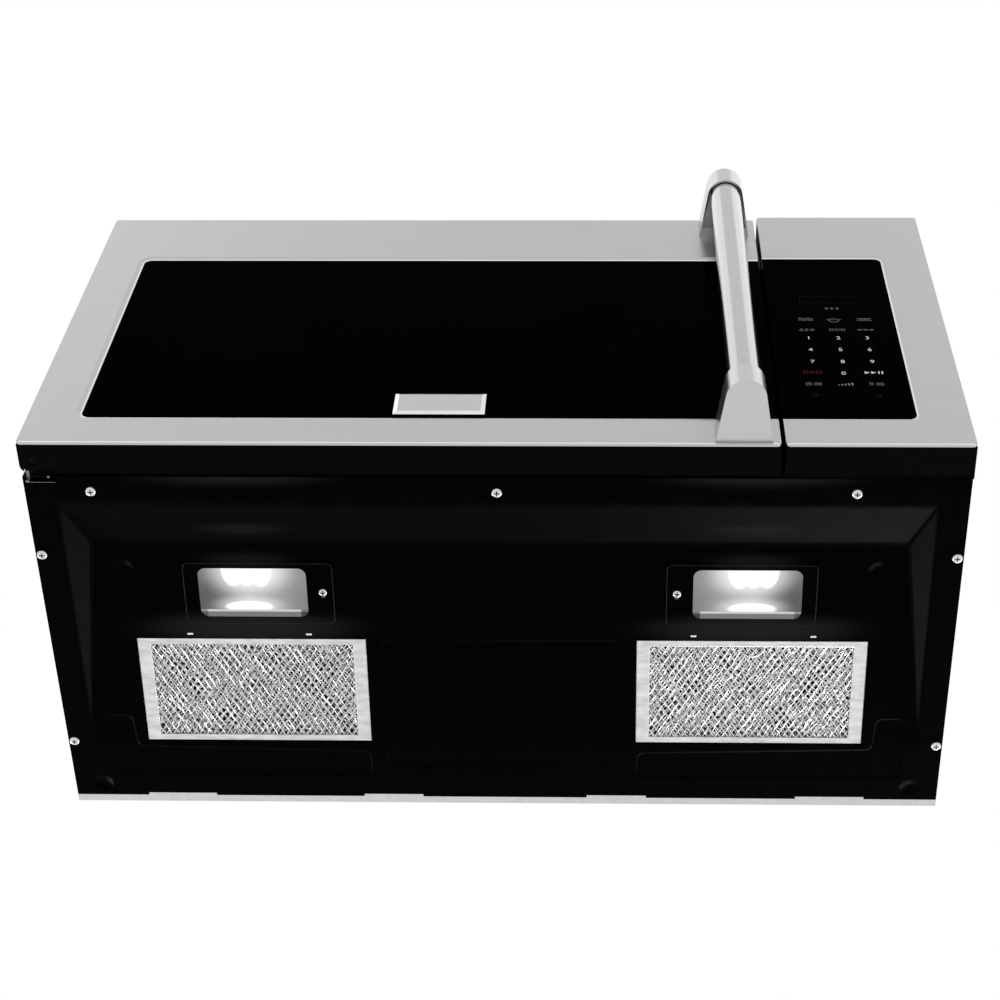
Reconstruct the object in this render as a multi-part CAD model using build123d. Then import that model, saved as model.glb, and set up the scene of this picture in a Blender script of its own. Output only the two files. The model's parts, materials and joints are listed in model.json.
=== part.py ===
"""Over the range microwave with a vent blower, built as separate pieces.

Millimetres. X runs to the right as seen from the front, Y from the front to the wall, Z up. The origin is
the middle of the rear face's bottom edge: the wall is the plane Y = 0 and the base plate lies on Z = 0.
"""
from build123d import *
import os
from math import atan2, cos, sin

# ---------------------------------------------------------------- overall sizes
WIDTH = 759.0            # across the door and the control panel
DEPTH = 370.0            # from the wall to the door's front face
HEIGHT = 417.0           # from the base plate to the top of the control panel
PANEL_WIDTH = 149.7      # control panel
DOOR_GAP = 3.8           # upright gap between door and control panel
DOOR_TOP_DROP = 6.0      # the door stops this far below the control panel's top
FRONT_RAISE = 1.0        # door and control panel start this far above the base
CASE_INSET = 1.0         # the case is this much narrower than the front on each side

# ---------------------------------------------------------------- sheet, clearances and fasteners
SHEET = 1.0              # case sheet steel
FRAME_SHEET = 1.2        # front frame and chassis sheet steel
PLASTIC = 2.5            # moulded walls
MOVE_GAP = 0.3           # between pieces that move past each other
RUNNING = 0.05           # radial running clearance of a shaft in its bearing
SCREW_R = 1.7            # case screw shank
SCREW_HEAD_R = 4.3
SCREW_HEAD_H = 2.6
SCREW_LENGTH = 8.0
CROSS_WIDTH = 1.0        # cross recess in the screw heads
CROSS_SPAN = 4.6
CROSS_DEPTH = 1.3

# ---------------------------------------------------------------- front: skins, glass and bodies
SKIN = 2.0               # stainless skin
SKIN_CORNER = 3.0
DOOR_DEPTH = 29.0        # door's front face to its inner trim
SWING_GAP = 2.5          # door's back to the front frame
GLASS_SET = 1.6          # glass lies this far behind the skin's face
GLASS_THICK = 3.4
GLASS_GAP = 0.2          # between glass and skin
GLASS_CORNER = 7.0
LIP_WIDTH = 5.0          # bevelled lip around the glass
LIP_DEPTH = 1.4
DOOR_SIDE = 43.0         # stainless at the door's left of the glass
FRONT_LOWER = 41.8       # stainless below the glass
DOOR_UPPER = 84.0        # stainless above the door glass
PANEL_UPPER = 86.0       # stainless above the control panel glass
PANEL_SIDE = 42.0        # stainless at the control panel's right of the glass
BACKING = 2.0            # body wall behind the glass
TRIM = 2.0               # inner trim thickness
WINDOW_INSET = (53.0, 40.0, 38.0, 20.0)       # window in the door from the cavity: left, right, low, high
PLATE_SIZE = (74.5, 33.0)                     # blank nameplate
PLATE_MIDDLE = (-47.3, 65.0)
PLATE_THICK = 2.0

# ---------------------------------------------------------------- handle
HANDLE_INSET = 29.0      # handle axis from the door's right edge
HANDLE_OUT = 40.0        # handle axis in front of the door
BAR_R = 13.5
BAR_WALL = 1.5
POST_NOSE_R = 16.0
POST_WALL = 1.7
POST_BASE = 45.6         # post width at the door
POST_HEIGHT = 26.5
POST_CAP = 3.0           # closed end of a post
POST_FOOT = 8.0          # solid foot that the handle screw threads into
LOWER_POST_Z = 4.5       # underside of the lower post
UPPER_POST_DROP = 7.0    # top of the upper post below the door's top
HANDLE_SCREW_R = 2.4
HANDLE_SCREW_HEAD = (4.5, 3.0)

# ---------------------------------------------------------------- hinge and latch
HINGE_INSET = 10.0       # hinge axis from the door's left edge
HINGE_BACK = 18.0        # hinge axis behind the door's front face
HINGE_PIN_R = 3.0
HINGE_PIN = 14.0         # pin length past its collar
HINGE_STRAP = 2.0        # bracket plate
HINGE_STRAP_WIDTH = 5.5
HINGE_NOSE_R = 7.0       # bracket's round end about the pin
HINGE_COLLAR = (5.0, 1.8)
HINGE_BOSS_R = 7.5
HINGE_LIFT = 3.1         # bracket plate above the door's lower edge
HINGE_NOTCH = (24.5, 4.0, 5.5)   # notch for the bracket: width, reach into the door and into the case
HINGE_LEG = 28.0         # height of the bracket's leg behind the frame
DOOR_CORNER = 8.0        # rounding of the door's rear left edge
LATCH_INSET = 18.0       # latch bar's middle from the door's right edge
LATCH_WIDTH = 10.0
LATCH_BACK = (12.0, 22.0)        # the latch bar's span behind the front face
LATCH_ENDS = (85.0, 86.0)        # its lower end's height, its upper end below the door's top
LATCH_TRAVEL = 4.0
HOOK_INSET = (33.0, 37.0)        # hooks from the bar's lower and upper end
HOOK_WIDTH = 8.0
HOOK_HEIGHT = 12.0
HOOK_REACH = 14.5                # past the front frame's face
HOOK_NOSE = (6.0, 4.0)
SPRING_R = 4.0
SPRING_WALL = 0.8
SPRING_LENGTH = 25.0

# ---------------------------------------------------------------- case
FRAME_DROP = 44.0        # the front frame's top below the case's top
SKIRT = 20.0             # depth of the front frame's skirt
FLANGE = 14.0            # turned edges that take the case screws
EAR_WIDTH = 28.5         # the frame's two ears beside the vent grille
WIRING = ((300.0, 200.0), (40.0, 60.0))      # opening behind the control panel: middle, size
GRILLE_DEPTH = 44.0      # how far the sloped grille runs back
GRILLE_WALL = 2.0
GRILLE_ROWS = 3
GRILLE_PITCH = 29.0      # slots along the grille
SLOT_SIZE = (22.0, 6.5)
REAR_STRIP = 7.0         # rear panel's flange showing behind the base plate
REAR_NOTCH = 2.5         # extra width at the wall plate notches
NOTCHES = ((-98.0, 52.0), (98.0, 52.0), (-285.0, 60.0), (285.0, 60.0))   # middle, width
EXHAUST = (254.0, 83.0)  # duct opening in the top, 10 by 3 1/4 in
EXHAUST_BACK = 38.0      # its rear edge from the wall
CABINET_BOLTS = 610.0    # spacing of the two cabinet bolts
BOLT_BACK = 240.0        # bolts from the wall
BOLT_R = 3.3
BOLT_NUT = (8.0, 4.0)    # weld nut radius and height
GLAND_INSET = (48.5, 200.0)      # from the case's side and from the wall
GLAND_BORE = 4.2
GLAND_R = 9.0
GLAND_FLANGE = (13.0, 2.0)
GLAND_LENGTH = 20.0

# ---------------------------------------------------------------- base plate pocket
POCKET_FRONT = 56.4      # start of the front slope behind the front face
POCKET_LEDGE = 105.2     # end of the front slope, where the pocket is deepest
POCKET_REAR = 62.0       # the sloped panel meets the flat rear this far from the wall
POCKET_DEEP = 18.0
POCKET_INSETS = (24.0, 42.7, 21.0)   # from the case's side at the front, the ledge and the end
FRONT_SCREWS = (-325.0, 1.0, 288.0)
FRONT_SCREW_BACK = 44.4
SIDE_SCREW_INSET = 5.5
SIDE_SCREW_BACKS = (106.0, 301.5)
DIMPLE_R = 8.5
DIMPLE_DEEP = 2.4
DIMPLE_SLOPE = (313.0, 26.0)     # X, distance along the slope
DIMPLE_REAR = (354.0, 350.0)     # X, distance behind the front face

# ---------------------------------------------------------------- lamps and grease filters, along the slope
LAMP_SIZE = (90.4, 47.0)         # lit window
LAMP_MIDDLE = (205.9, 47.9)
COVER_X = (138.0, 264.0)
COVER_S = (19.0, 78.2)
COVER_THICK = 1.2
COVER_CORNER = 6.0
LENS_LAP = 2.2
LENS_THICK = 2.5
LAMP_SCREW = (147.3, 46.5)
LAMP_SCREW_HEAD = (3.5, 2.2)     # radius, height
LAMP_KEY = 7.0                   # length of the keyhole behind the lamp screw
HOUSING_HEIGHT = 30.0
HOUSING_WALL = 1.2
LED_BOARD = (74.0, 14.0, 1.6)
LED_SIZE = (9.0, 9.0, 2.0)
LED_PITCH = 22.0
LED_SET = 9.0                    # board's edge from the housing's front wall
COVER_HOOK = (2.5, 8.0, 3.3)     # thickness, width, rise
COVER_HOOKS = (29.0, 68.0)
FILTER_SIZE = (195.0, 103.4)
FILTER_MIDDLE = (211.6, 145.6)
FILTER_THICK = 8.0
FILTER_SET = 1.0                 # filter recessed behind the panel's face
FILTER_GAP = 0.4
FILTER_FRAME = 10.5
TRAY_RISE = 10.0
TAB_SLOT = (6.0, 2.0)
TAB_PLACES = (162.0, 262.5)
TAB_S = 89.0

# ---------------------------------------------------------------- cavity and chassis
CAVITY_INSETS = (34.5, 36.0)     # cavity's sides from the door's left and right edge
CAVITY_DROP = 104.0      # cavity's ceiling below the case's top
CAVITY_REAR = 37.3       # its back wall from the wall
CHASSIS_TOP = 61.0

# ---------------------------------------------------------------- turntable
TRAY_R = 142.0
TRAY_THICK = 5.0
TRAY_RIM = 9.0
ROLLER_R = 7.5
ROLLER_WIDE = 8.0
ROLLER_AT = 95.0         # rollers' distance from the turntable's axis
ROLLERS = 3
AXLE_R = 2.0
RING_R = 88.0
RING_WIDE = 6.0
RING_HIGH = 5.0
COUPLER_R = 12.0
MOTOR_R = 25.0
MOTOR_HIGH = 19.0
SPINDLE_R = 3.5
SPINDLE_DEEP = 10.0      # spindle inside the motor

# ---------------------------------------------------------------- vent blower
BLOWER_R = 45.0
BLOWER_LONG = 330.0
BLOWER_WALL = 1.5
BLOWER_BACK = 79.5       # axis in front of the wall
INLET_R = 28.0
WHEEL_R = 38.0
WHEEL_INNER = 30.0
WHEEL_LONG = 105.0
WHEEL_DISC = 3.0
BLADES = 20
BLADE_THICK = 1.2
BLOWER_MOTOR_R = 33.0
BLOWER_MOTOR_LONG = 70.0
SHAFT_R = 4.0
SHAFT_END = 6.0          # shaft past each wheel's disc
CHARCOAL = (340.0, 12.0)
CHARCOAL_GAP = 1.3       # behind the vent grille

# ---------------------------------------------------------------- microwave source and cooling
GUIDE_SIZE = (40.0, 80.0, 130.0)
GUIDE_PLACE = (-205.0, 77.0)     # Y of its middle, distance below the cavity's ceiling
GUIDE_WINDOW = (40.0, 70.0)
COVER_SHEET = (60.0, 90.0, 0.5)
MAGNETRON = (80.0, 86.0, 90.0)
FINS = 8
ANTENNA_R = 10.0
TRANSFORMER = (86.0, 80.0, 68.0)
TRANSFORMER_Y = -121.0
COIL_PROUD = 10.0
CAPACITOR = (50.0, 32.0, 100.0)
CAPACITOR_Y = -268.0
FAN_FRAME = 100.0
FAN_DEEP = 25.0
FAN_REAR = -45.0         # Y of its rear face
FAN_R = 43.0
FAN_HUB = 13.0
FAN_BLADES = 5
FAN_MOTOR = (20.0, 25.0)
FAN_SHAFT_R = 2.5
SWITCH_SIZE = (10.0, 28.0, 16.0)
SWITCH_ABOVE = 42.0      # third switch above the lower hook's
BRACKET_BESIDE = 8.0     # bracket beside the latch bar's middle
BRACKET_DEEP = 33.0
BOARD_INSET = (9.85, 66.0)       # board's edges from the control panel's
BOARD_THICK = 1.6
BOARD_BACK = 16.0
BOARD_PEG_R = 3.0
BOARD_PARTS = 11.0       # height of the parts on the board

# ---------------------------------------------------------------- derived places
def behind(distance):
    """Y of a plane that lies this far behind the door's front face."""
    return distance - DEPTH


LEFT = -WIDTH / 2
RIGHT = WIDTH / 2
PANEL_LEFT = RIGHT - PANEL_WIDTH
DOOR_RIGHT = PANEL_LEFT - DOOR_GAP
DOOR_TOP = HEIGHT - DOOR_TOP_DROP
CASE_HALF = WIDTH / 2 - CASE_INSET
CASE_TOP = HEIGHT - CASE_INSET
FRAME_FACE = DOOR_DEPTH + SWING_GAP
FRAME_REAR = FRAME_FACE + FRAME_SHEET
CAVITY_LEFT = LEFT + CAVITY_INSETS[0]
CAVITY_RIGHT = DOOR_RIGHT - CAVITY_INSETS[1]
CAVITY_FLOOR = CHASSIS_TOP + SHEET
CAVITY_CEILING = CASE_TOP - CAVITY_DROP
CAVITY_ROOF = CAVITY_CEILING + SHEET
CHARCOAL_BACK = FRAME_REAR + GRILLE_DEPTH + FLANGE + CHARCOAL_GAP
CAVITY_BACK = -CAVITY_REAR
TURN_X = (CAVITY_LEFT + CAVITY_RIGHT) / 2
TURN_Y = (behind(FRAME_REAR) + CAVITY_BACK) / 2
ROLLER_Z = CAVITY_FLOOR + MOVE_GAP + ROLLER_R
TRAY_Z = ROLLER_Z + ROLLER_R + MOVE_GAP
BODY_BACK = DOOR_DEPTH - TRIM
GLASS_BACK = GLASS_SET + GLASS_THICK
BODY_FACE_BACK = GLASS_BACK + BACKING
HINGE_X = LEFT + HINGE_INSET
HINGE_Y = behind(HINGE_BACK)
HANDLE_X = DOOR_RIGHT - HANDLE_INSET
LATCH_X = DOOR_RIGHT - LATCH_INSET
LATCH_SPAN = (LATCH_ENDS[0], DOOR_TOP - LATCH_ENDS[1])
HOOK_LEVELS = (LATCH_SPAN[0] + HOOK_INSET[0], LATCH_SPAN[1] - HOOK_INSET[1])
BRACKET_X = LATCH_X + BRACKET_BESIDE
SWITCH_LEVELS = (HOOK_LEVELS[0], HOOK_LEVELS[0] + SWITCH_ABOVE, HOOK_LEVELS[1])
FRAME_TOP = CASE_TOP - FRAME_DROP
GLAND_PLACE = (CASE_HALF - GLAND_INSET[0], -GLAND_INSET[1])
SIDE_SCREW_X = CASE_HALF - SIDE_SCREW_INSET
POCKET_HALF_FRONT, POCKET_HALF_LEDGE, POCKET_HALF_END = [CASE_HALF - inset for inset in POCKET_INSETS]
BAY_X = (CAVITY_RIGHT + CASE_HALF) / 2       # middle of the bay beside the cavity
GUIDE_MIDDLE = (GUIDE_PLACE[0], CAVITY_CEILING - GUIDE_PLACE[1])
BOARD_SIZE = (PANEL_WIDTH - 2 * BOARD_INSET[0], HEIGHT - 2 * BOARD_INSET[1])
UPPER_POST_Z = DOOR_TOP - UPPER_POST_DROP - POST_HEIGHT
HANDLE_Y = behind(-HANDLE_OUT)
BLOWER_Z = CAVITY_ROOF + BLOWER_R
BLOWER_Y = -BLOWER_BACK
POCKET_END = DEPTH - POCKET_REAR
SLOPE = atan2(POCKET_DEEP, POCKET_END - POCKET_LEDGE)
SLOPE_PLANE = Plane(
    origin=(0, behind(POCKET_LEDGE), POCKET_DEEP),
    x_dir=(1, 0, 0),
    z_dir=(0, sin(SLOPE), cos(SLOPE)),
)


# ---------------------------------------------------------------- helpers
def block(x, y, z):
    """A box between the low and high limits along each axis."""
    size = [high - low for low, high in (x, y, z)]
    middle = [(low + high) / 2 for low, high in (x, y, z)]
    return Pos(*middle) * Box(*size)


def rod(axis, radius, centre, span):
    """A cylinder along an axis, through a centre given by the other two coordinates."""
    low, high = span
    body = Cylinder(radius, high - low)
    middle = (low + high) / 2
    if axis == "X":
        return Pos(middle, *centre) * Rot(0, 90, 0) * body
    if axis == "Y":
        return Pos(centre[0], middle, centre[1]) * Rot(90, 0, 0) * body
    return Pos(*centre, middle) * body


def about(middle, size):
    """Low and high limit of a size centred on a middle."""
    return (middle - size / 2, middle + size / 2)


def together(pieces):
    """All the pieces fused into one."""
    pieces = list(pieces)
    return pieces[0].fuse(*pieces[1:]) if len(pieces) > 1 else pieces[0]


def cut(solid, tools):
    """The solid with every tool taken away in one go."""
    return solid.cut(*list(tools))


def rounded(solid, axis, radius, test=lambda middle: True):
    """The solid with the edges along an axis that pass the test rounded."""
    edges = [edge for edge in solid.edges().filter_by(axis) if test(edge.center())]
    return fillet(edges, radius)


def polyhedron(points, faces):
    """A solid from its corner points and the corner numbers of each face."""
    sides = [Face(Wire.make_polygon([points[i] for i in face], close=True)) for face in faces]
    return Solid(Shell(sides))


def on_slope(solid):
    """A solid drawn at (x, distance along the slope, height above the panel's face), put in place."""
    return SLOPE_PLANE.location * solid


def mirrored(solid):
    """The left hand copy of a right hand piece."""
    return mirror(solid, about=Plane.YZ)


def pan_screw(head_r, head_h, shank_r, length):
    """A pan head screw with a cross recess, its head's seat on Z = 0 and its shank upwards."""
    head = rod("Z", head_r, (0, 0), (-head_h, 0))
    head = fillet(head.edges().group_by(Axis.Z)[0], head_h * 0.6)
    bars = [
        block(about(0, CROSS_SPAN), about(0, CROSS_WIDTH), (-head_h, CROSS_DEPTH - head_h)),
        block(about(0, CROSS_WIDTH), about(0, CROSS_SPAN), (-head_h, CROSS_DEPTH - head_h)),
    ]
    return cut(head, bars) + rod("Z", shank_r, (0, 0), (0, length))


# ---------------------------------------------------------------- door and control panel skins
def front_outline(y, x, z, radius=0.0, corner=lambda u, v: True):
    """A rectangle facing the front at depth y, with the corners that pass the test rounded."""
    (left, right), (low, high) = x, z
    face = Pos((left + right) / 2, (low + high) / 2) * Rectangle(right - left, high - low)
    if radius:
        face = fillet([v for v in face.vertices() if corner(v.X, v.Y)], radius)
    return Plane(origin=(0, y, 0), x_dir=(1, 0, 0), z_dir=(0, -1, 0)) * face


def front_plate(depths, x, z, radius=0.0, corner=lambda u, v: True):
    """A plate between two depths behind the front face, with the outline of front_outline."""
    near, far = depths
    return extrude(front_outline(behind(near), x, z, radius, corner), amount=far - near, dir=(0, 1, 0))


def skin(x, z, glass_x, glass_z, closed_left):
    """A stainless skin and its window for the glass, open at the edge away from the closed side."""
    run_out = 60.0
    left, right = glass_x
    if closed_left:
        hole_x = (left - GLASS_GAP, right + run_out)
    else:
        hole_x = (left - run_out, right + GLASS_GAP)
    hole_z = (glass_z[0] - GLASS_GAP, glass_z[1] + GLASS_GAP)
    middle = (left + right) / 2

    def closed(u, v):
        return (u < middle) == closed_left

    hole = front_plate((-1, SKIN + 1), hole_x, hole_z, GLASS_CORNER, closed)
    wide_x = (hole_x[0] - LIP_WIDTH, hole_x[1] + LIP_WIDTH)
    wide_z = (hole_z[0] - LIP_WIDTH, hole_z[1] + LIP_WIDTH)
    wide = front_outline(behind(0), wide_x, wide_z, GLASS_CORNER + LIP_WIDTH, closed)
    narrow = front_outline(behind(LIP_DEPTH), hole_x, hole_z, GLASS_CORNER, closed)
    plate = front_plate((0, SKIN), x, z, SKIN_CORNER)
    return plate - hole - loft([wide.face(), narrow.face()])


DOOR_X = (LEFT, DOOR_RIGHT)
DOOR_Z = (FRONT_RAISE, DOOR_TOP)
DOOR_GLASS_X = (LEFT + DOOR_SIDE, DOOR_RIGHT)
DOOR_GLASS_Z = (FRONT_RAISE + FRONT_LOWER, DOOR_TOP - DOOR_UPPER)
PANEL_X = (PANEL_LEFT, RIGHT)
PANEL_Z = (FRONT_RAISE, HEIGHT)
PANEL_GLASS_X = (PANEL_LEFT, RIGHT - PANEL_SIDE)
PANEL_GLASS_Z = (FRONT_RAISE + FRONT_LOWER, HEIGHT - PANEL_UPPER)


def post_screw_heights():
    """Heights of the two handle screws, each in the middle of its post."""
    return (LOWER_POST_Z + POST_HEIGHT / 2, UPPER_POST_Z + POST_HEIGHT / 2)


def handle_screw_holes(radius, depths):
    """Clearance tools for the handle screws between two depths."""
    span = (behind(depths[0]), behind(depths[1]))
    return [rod("Y", radius, (HANDLE_X, z), span) for z in post_screw_heights()]


def make_door_skin():
    plate = skin(DOOR_X, DOOR_Z, DOOR_GLASS_X, DOOR_GLASS_Z, closed_left=True)
    return cut(plate, handle_screw_holes(HANDLE_SCREW_R + MOVE_GAP, (-1, SKIN + 1)))


def make_control_panel_skin():
    return skin(PANEL_X, PANEL_Z, PANEL_GLASS_X, PANEL_GLASS_Z, closed_left=False)


def glass(x, z, closed_left):
    """A glass plate, rounded at the corners that the skin closes round."""
    middle = (x[0] + x[1]) / 2

    def closed(u, v):
        return (u < middle) == closed_left

    return front_plate((GLASS_SET, GLASS_BACK), x, z, GLASS_CORNER - GLASS_GAP, closed)


def make_door_glass():
    return glass(DOOR_GLASS_X, DOOR_GLASS_Z, closed_left=True)


def make_control_panel_glass():
    return glass(PANEL_GLASS_X, PANEL_GLASS_Z, closed_left=False)


def make_nameplate():
    x = about(PLATE_MIDDLE[0], PLATE_SIZE[0])
    z = about(PLATE_MIDDLE[1], PLATE_SIZE[1])
    plate = front_plate((GLASS_SET - PLATE_THICK, GLASS_SET), x, z)
    front = plate.faces().sort_by(Axis.Y)[0]
    return chamfer(front.edges(), PLATE_THICK * 0.5)


# ---------------------------------------------------------------- door
def door_envelope(x, z, depths):
    """The door's plan between two depths, with the rear left edge rounded to clear the case."""
    whole = block(DOOR_X, (behind(0), behind(DOOR_DEPTH)), z)
    whole = rounded(whole, Axis.Z, DOOR_CORNER, lambda c: c.X < LEFT + 1 and c.Y > behind(DOOR_DEPTH - 1))
    return whole & block(x, (behind(depths[0]), behind(depths[1])), z)


def hinge_notch(start, end, z):
    """The notch in an edge wall that a hinge bracket passes through."""
    left = HINGE_X - HINGE_NOSE_R - MOVE_GAP
    return block((left, left + HINGE_NOTCH[0]), (behind(start), behind(end)), z)


def hinge_room():
    """Room in the door for the two hinge brackets through the whole swing."""
    near = PLASTIC + MOVE_GAP
    far = HINGE_LIFT + HINGE_STRAP + HINGE_COLLAR[1] + MOVE_GAP
    x = (LEFT - 1, HINGE_X + HINGE_NOSE_R + MOVE_GAP)
    y = (HINGE_Y - 2 * HINGE_NOSE_R, behind(DOOR_DEPTH) + 1)
    low, high = DOOR_Z
    tools = []
    for slot, edge in (((low + near, low + far), (low - 1, low + near)),
                       ((high - far, high - near), (high - near, high + 1))):
        tools.append(block(x, y, slot))
        tools.append(hinge_notch(DOOR_DEPTH - HINGE_NOTCH[1], DOOR_DEPTH + 1, edge))
        tools.append(rod("Z", HINGE_PIN_R + MOVE_GAP, (HINGE_X, HINGE_Y), edge))
    return tools


def latch_slots(under, over):
    """Openings for the hooks, with room under the nose and over the raised hook."""
    x = about(LATCH_X, LATCH_WIDTH + 2)
    y = (behind(0), behind(FRAME_REAR) + 1)
    low = HOOK_NOSE[1] + under
    high = HOOK_HEIGHT + LATCH_TRAVEL + over
    return [block(x, y, (level - low, level + high)) for level in HOOK_LEVELS]


def make_door_body():
    depths = (SKIN, BODY_BACK)
    low, high = DOOR_Z
    shell = door_envelope(DOOR_X, DOOR_Z, depths)
    inner_x = (LEFT + PLASTIC, DOOR_RIGHT - PLASTIC)
    inner_y = (behind(BODY_FACE_BACK), behind(DOOR_DEPTH) + 1)
    room = block(inner_x, inner_y, (low + PLASTIC, high - PLASTIC))
    glass_room = block(
        (DOOR_GLASS_X[0] - GLASS_GAP, DOOR_RIGHT + 1),
        (behind(0), behind(GLASS_BACK)),
        (DOOR_GLASS_Z[0] - GLASS_GAP, DOOR_GLASS_Z[1] + GLASS_GAP),
    )
    left, right, under, over = WINDOW_INSET
    window_x = (CAVITY_LEFT + left, CAVITY_RIGHT - right)
    window_z = (CAVITY_FLOOR + under, CAVITY_CEILING - over)
    window = block(window_x, (behind(0), behind(DOOR_DEPTH)), window_z)
    body = cut(shell, [room, glass_room, window])
    boss_high = HINGE_PIN + HINGE_COLLAR[1]
    boss_low = HINGE_LIFT + HINGE_STRAP + HINGE_COLLAR[1] + MOVE_GAP
    bosses = []
    for z in ((low + boss_low, low + boss_low + boss_high), (high - boss_low - boss_high, high - boss_low)):
        bosses.append(rod("Z", HINGE_BOSS_R, (HINGE_X, HINGE_Y), z))
        bosses.append(block((LEFT + 1, HINGE_X), about(HINGE_Y, HINGE_BOSS_R), z))
        bosses.append(block(about(HINGE_X, HINGE_BOSS_R), (behind(GLASS_BACK), HINGE_Y), z))
    half = LATCH_WIDTH / 2 + MOVE_GAP
    guide_z = (LATCH_SPAN[0] + 5, LATCH_SPAN[1] - 5)
    guide_y = (behind(BODY_FACE_BACK), behind(LATCH_BACK[1] - 2))
    guide = block(about(LATCH_X, 2 * half + 6), guide_y, guide_z)
    channel_y = (behind(LATCH_BACK[0] - MOVE_GAP), behind(DOOR_DEPTH))
    channel = block(about(LATCH_X, 2 * half), channel_y, guide_z)
    shelf_x = about(LATCH_X, LATCH_WIDTH + 6)
    shelf_y = (behind(BODY_FACE_BACK), behind(LATCH_BACK[1] + 2))
    stop = LATCH_SPAN[0] - MOVE_GAP
    seat = LATCH_SPAN[1] + SPRING_LENGTH
    shelves = [
        block(shelf_x, shelf_y, (stop - 3, stop)),
        block(shelf_x, shelf_y, (seat, seat + 3)),
    ]
    body = together([body, *bosses, guide, *shelves])
    bore = rod("Z", HINGE_PIN_R + RUNNING, (HINGE_X, HINGE_Y), (low - 1, high + 1))
    tools = [channel, bore, *hinge_room(), *handle_screw_holes(HANDLE_SCREW_R, (0, BODY_FACE_BACK + 1))]
    return cut(body, tools)


def choke_limits():
    """X and Z limits of the microwave choke around the cavity opening."""
    reach = 22.0
    x = (LEFT + PLASTIC + MOVE_GAP, CAVITY_RIGHT + 4)
    return x, (CAVITY_FLOOR - reach, CAVITY_CEILING + reach)


def screen_limits():
    """X and Z limits of the inner trim's opening over the screen."""
    inset = 10.0
    return (CAVITY_LEFT + inset, CAVITY_RIGHT - inset), (CAVITY_FLOOR + inset, CAVITY_CEILING - inset)


def make_door_choke():
    x, z = choke_limits()
    wall = 1.0
    pan = block(x, (behind(BODY_FACE_BACK), behind(BODY_BACK)), z)
    inside = block(
        (x[0] + wall, x[1] - wall),
        (behind(BODY_FACE_BACK) - 1, behind(BODY_BACK - wall)),
        (z[0] + wall, z[1] - wall),
    )
    return pan - inside


def make_door_inner_trim():
    ring = door_envelope(DOOR_X, DOOR_Z, (BODY_BACK, DOOR_DEPTH))
    screen_x, screen_z = screen_limits()
    opening = front_plate((BODY_BACK - 1, DOOR_DEPTH + 1), screen_x, screen_z, GLASS_CORNER)
    return cut(ring, [opening, *latch_slots(2, 1), *hinge_room()])


def make_latch_bar():
    y = (behind(LATCH_BACK[0]), behind(LATCH_BACK[1]))
    bar = block(about(LATCH_X, LATCH_WIDTH), y, LATCH_SPAN)
    hook_x = about(LATCH_X, HOOK_WIDTH)
    tip = behind(FRAME_FACE + HOOK_REACH)
    pieces = [bar]
    for level in HOOK_LEVELS:
        arm = block(hook_x, (y[0], tip), (level, level + HOOK_HEIGHT))
        nose = block(hook_x, (tip - HOOK_NOSE[0], tip), (level - HOOK_NOSE[1], level + 1))
        top = (arm.faces().sort_by(Axis.Y)[-1]).edges().sort_by(Axis.Z)[-1]
        pieces += [chamfer(top, 3), nose]
    return together(pieces)


def make_latch_spring():
    seat = LATCH_SPAN[1]
    centre = (LATCH_X, behind(sum(LATCH_BACK) / 2))
    coil = rod("Z", SPRING_R, centre, (seat, seat + SPRING_LENGTH))
    return coil - rod("Z", SPRING_R - SPRING_WALL, centre, (seat - 1, seat + SPRING_LENGTH + 1))


def make_hinge_bracket_lower():
    """Strap through the front frame to a leg behind it, with the collar and the pin."""
    low = DOOR_Z[0] + HINGE_LIFT
    strap_z = (low, low + HINGE_STRAP)
    collar_z = (strap_z[1], strap_z[1] + HINGE_COLLAR[1])
    left = HINGE_X - HINGE_NOSE_R
    rear = behind(FRAME_REAR + HINGE_STRAP)
    nose = rod("Z", HINGE_NOSE_R, (HINGE_X, HINGE_Y), strap_z)
    strap = block((left, left + HINGE_STRAP_WIDTH), (HINGE_Y, rear), strap_z)
    leg = block((left, HINGE_X + 12), (behind(FRAME_REAR), rear), (low, low + HINGE_LEG))
    collar = rod("Z", HINGE_COLLAR[0], (HINGE_X, HINGE_Y), collar_z)
    pin = rod("Z", HINGE_PIN_R, (HINGE_X, HINGE_Y), (DOOR_Z[0] + 1, collar_z[1] + HINGE_PIN))
    return together([nose, strap, leg, collar, pin])


def make_hinge_bracket_upper():
    """The lower bracket turned over to the door's top."""
    middle = (DOOR_Z[0] + DOOR_Z[1]) / 2
    return mirror(make_hinge_bracket_lower(), about=Plane(origin=(0, 0, middle), z_dir=(0, 0, 1)))


# ---------------------------------------------------------------- handle
def post_outline(radius, base):
    """A post's plan: straight sides from its base on the door to a round nose about the handle's axis."""
    nose = Pos(HANDLE_X, HANDLE_Y) * Circle(radius)
    foot = [(HANDLE_X - base / 2, behind(0)), (HANDLE_X + base / 2, behind(0))]
    lean = atan2(base / 2 - radius, HANDLE_OUT)
    side = radius * cos(lean)
    rise = radius * sin(lean)
    shoulders = [(HANDLE_X + side, HANDLE_Y - rise), (HANDLE_X - side, HANDLE_Y - rise)]
    return nose + make_face(Polyline(*foot, *shoulders, close=True))


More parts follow.
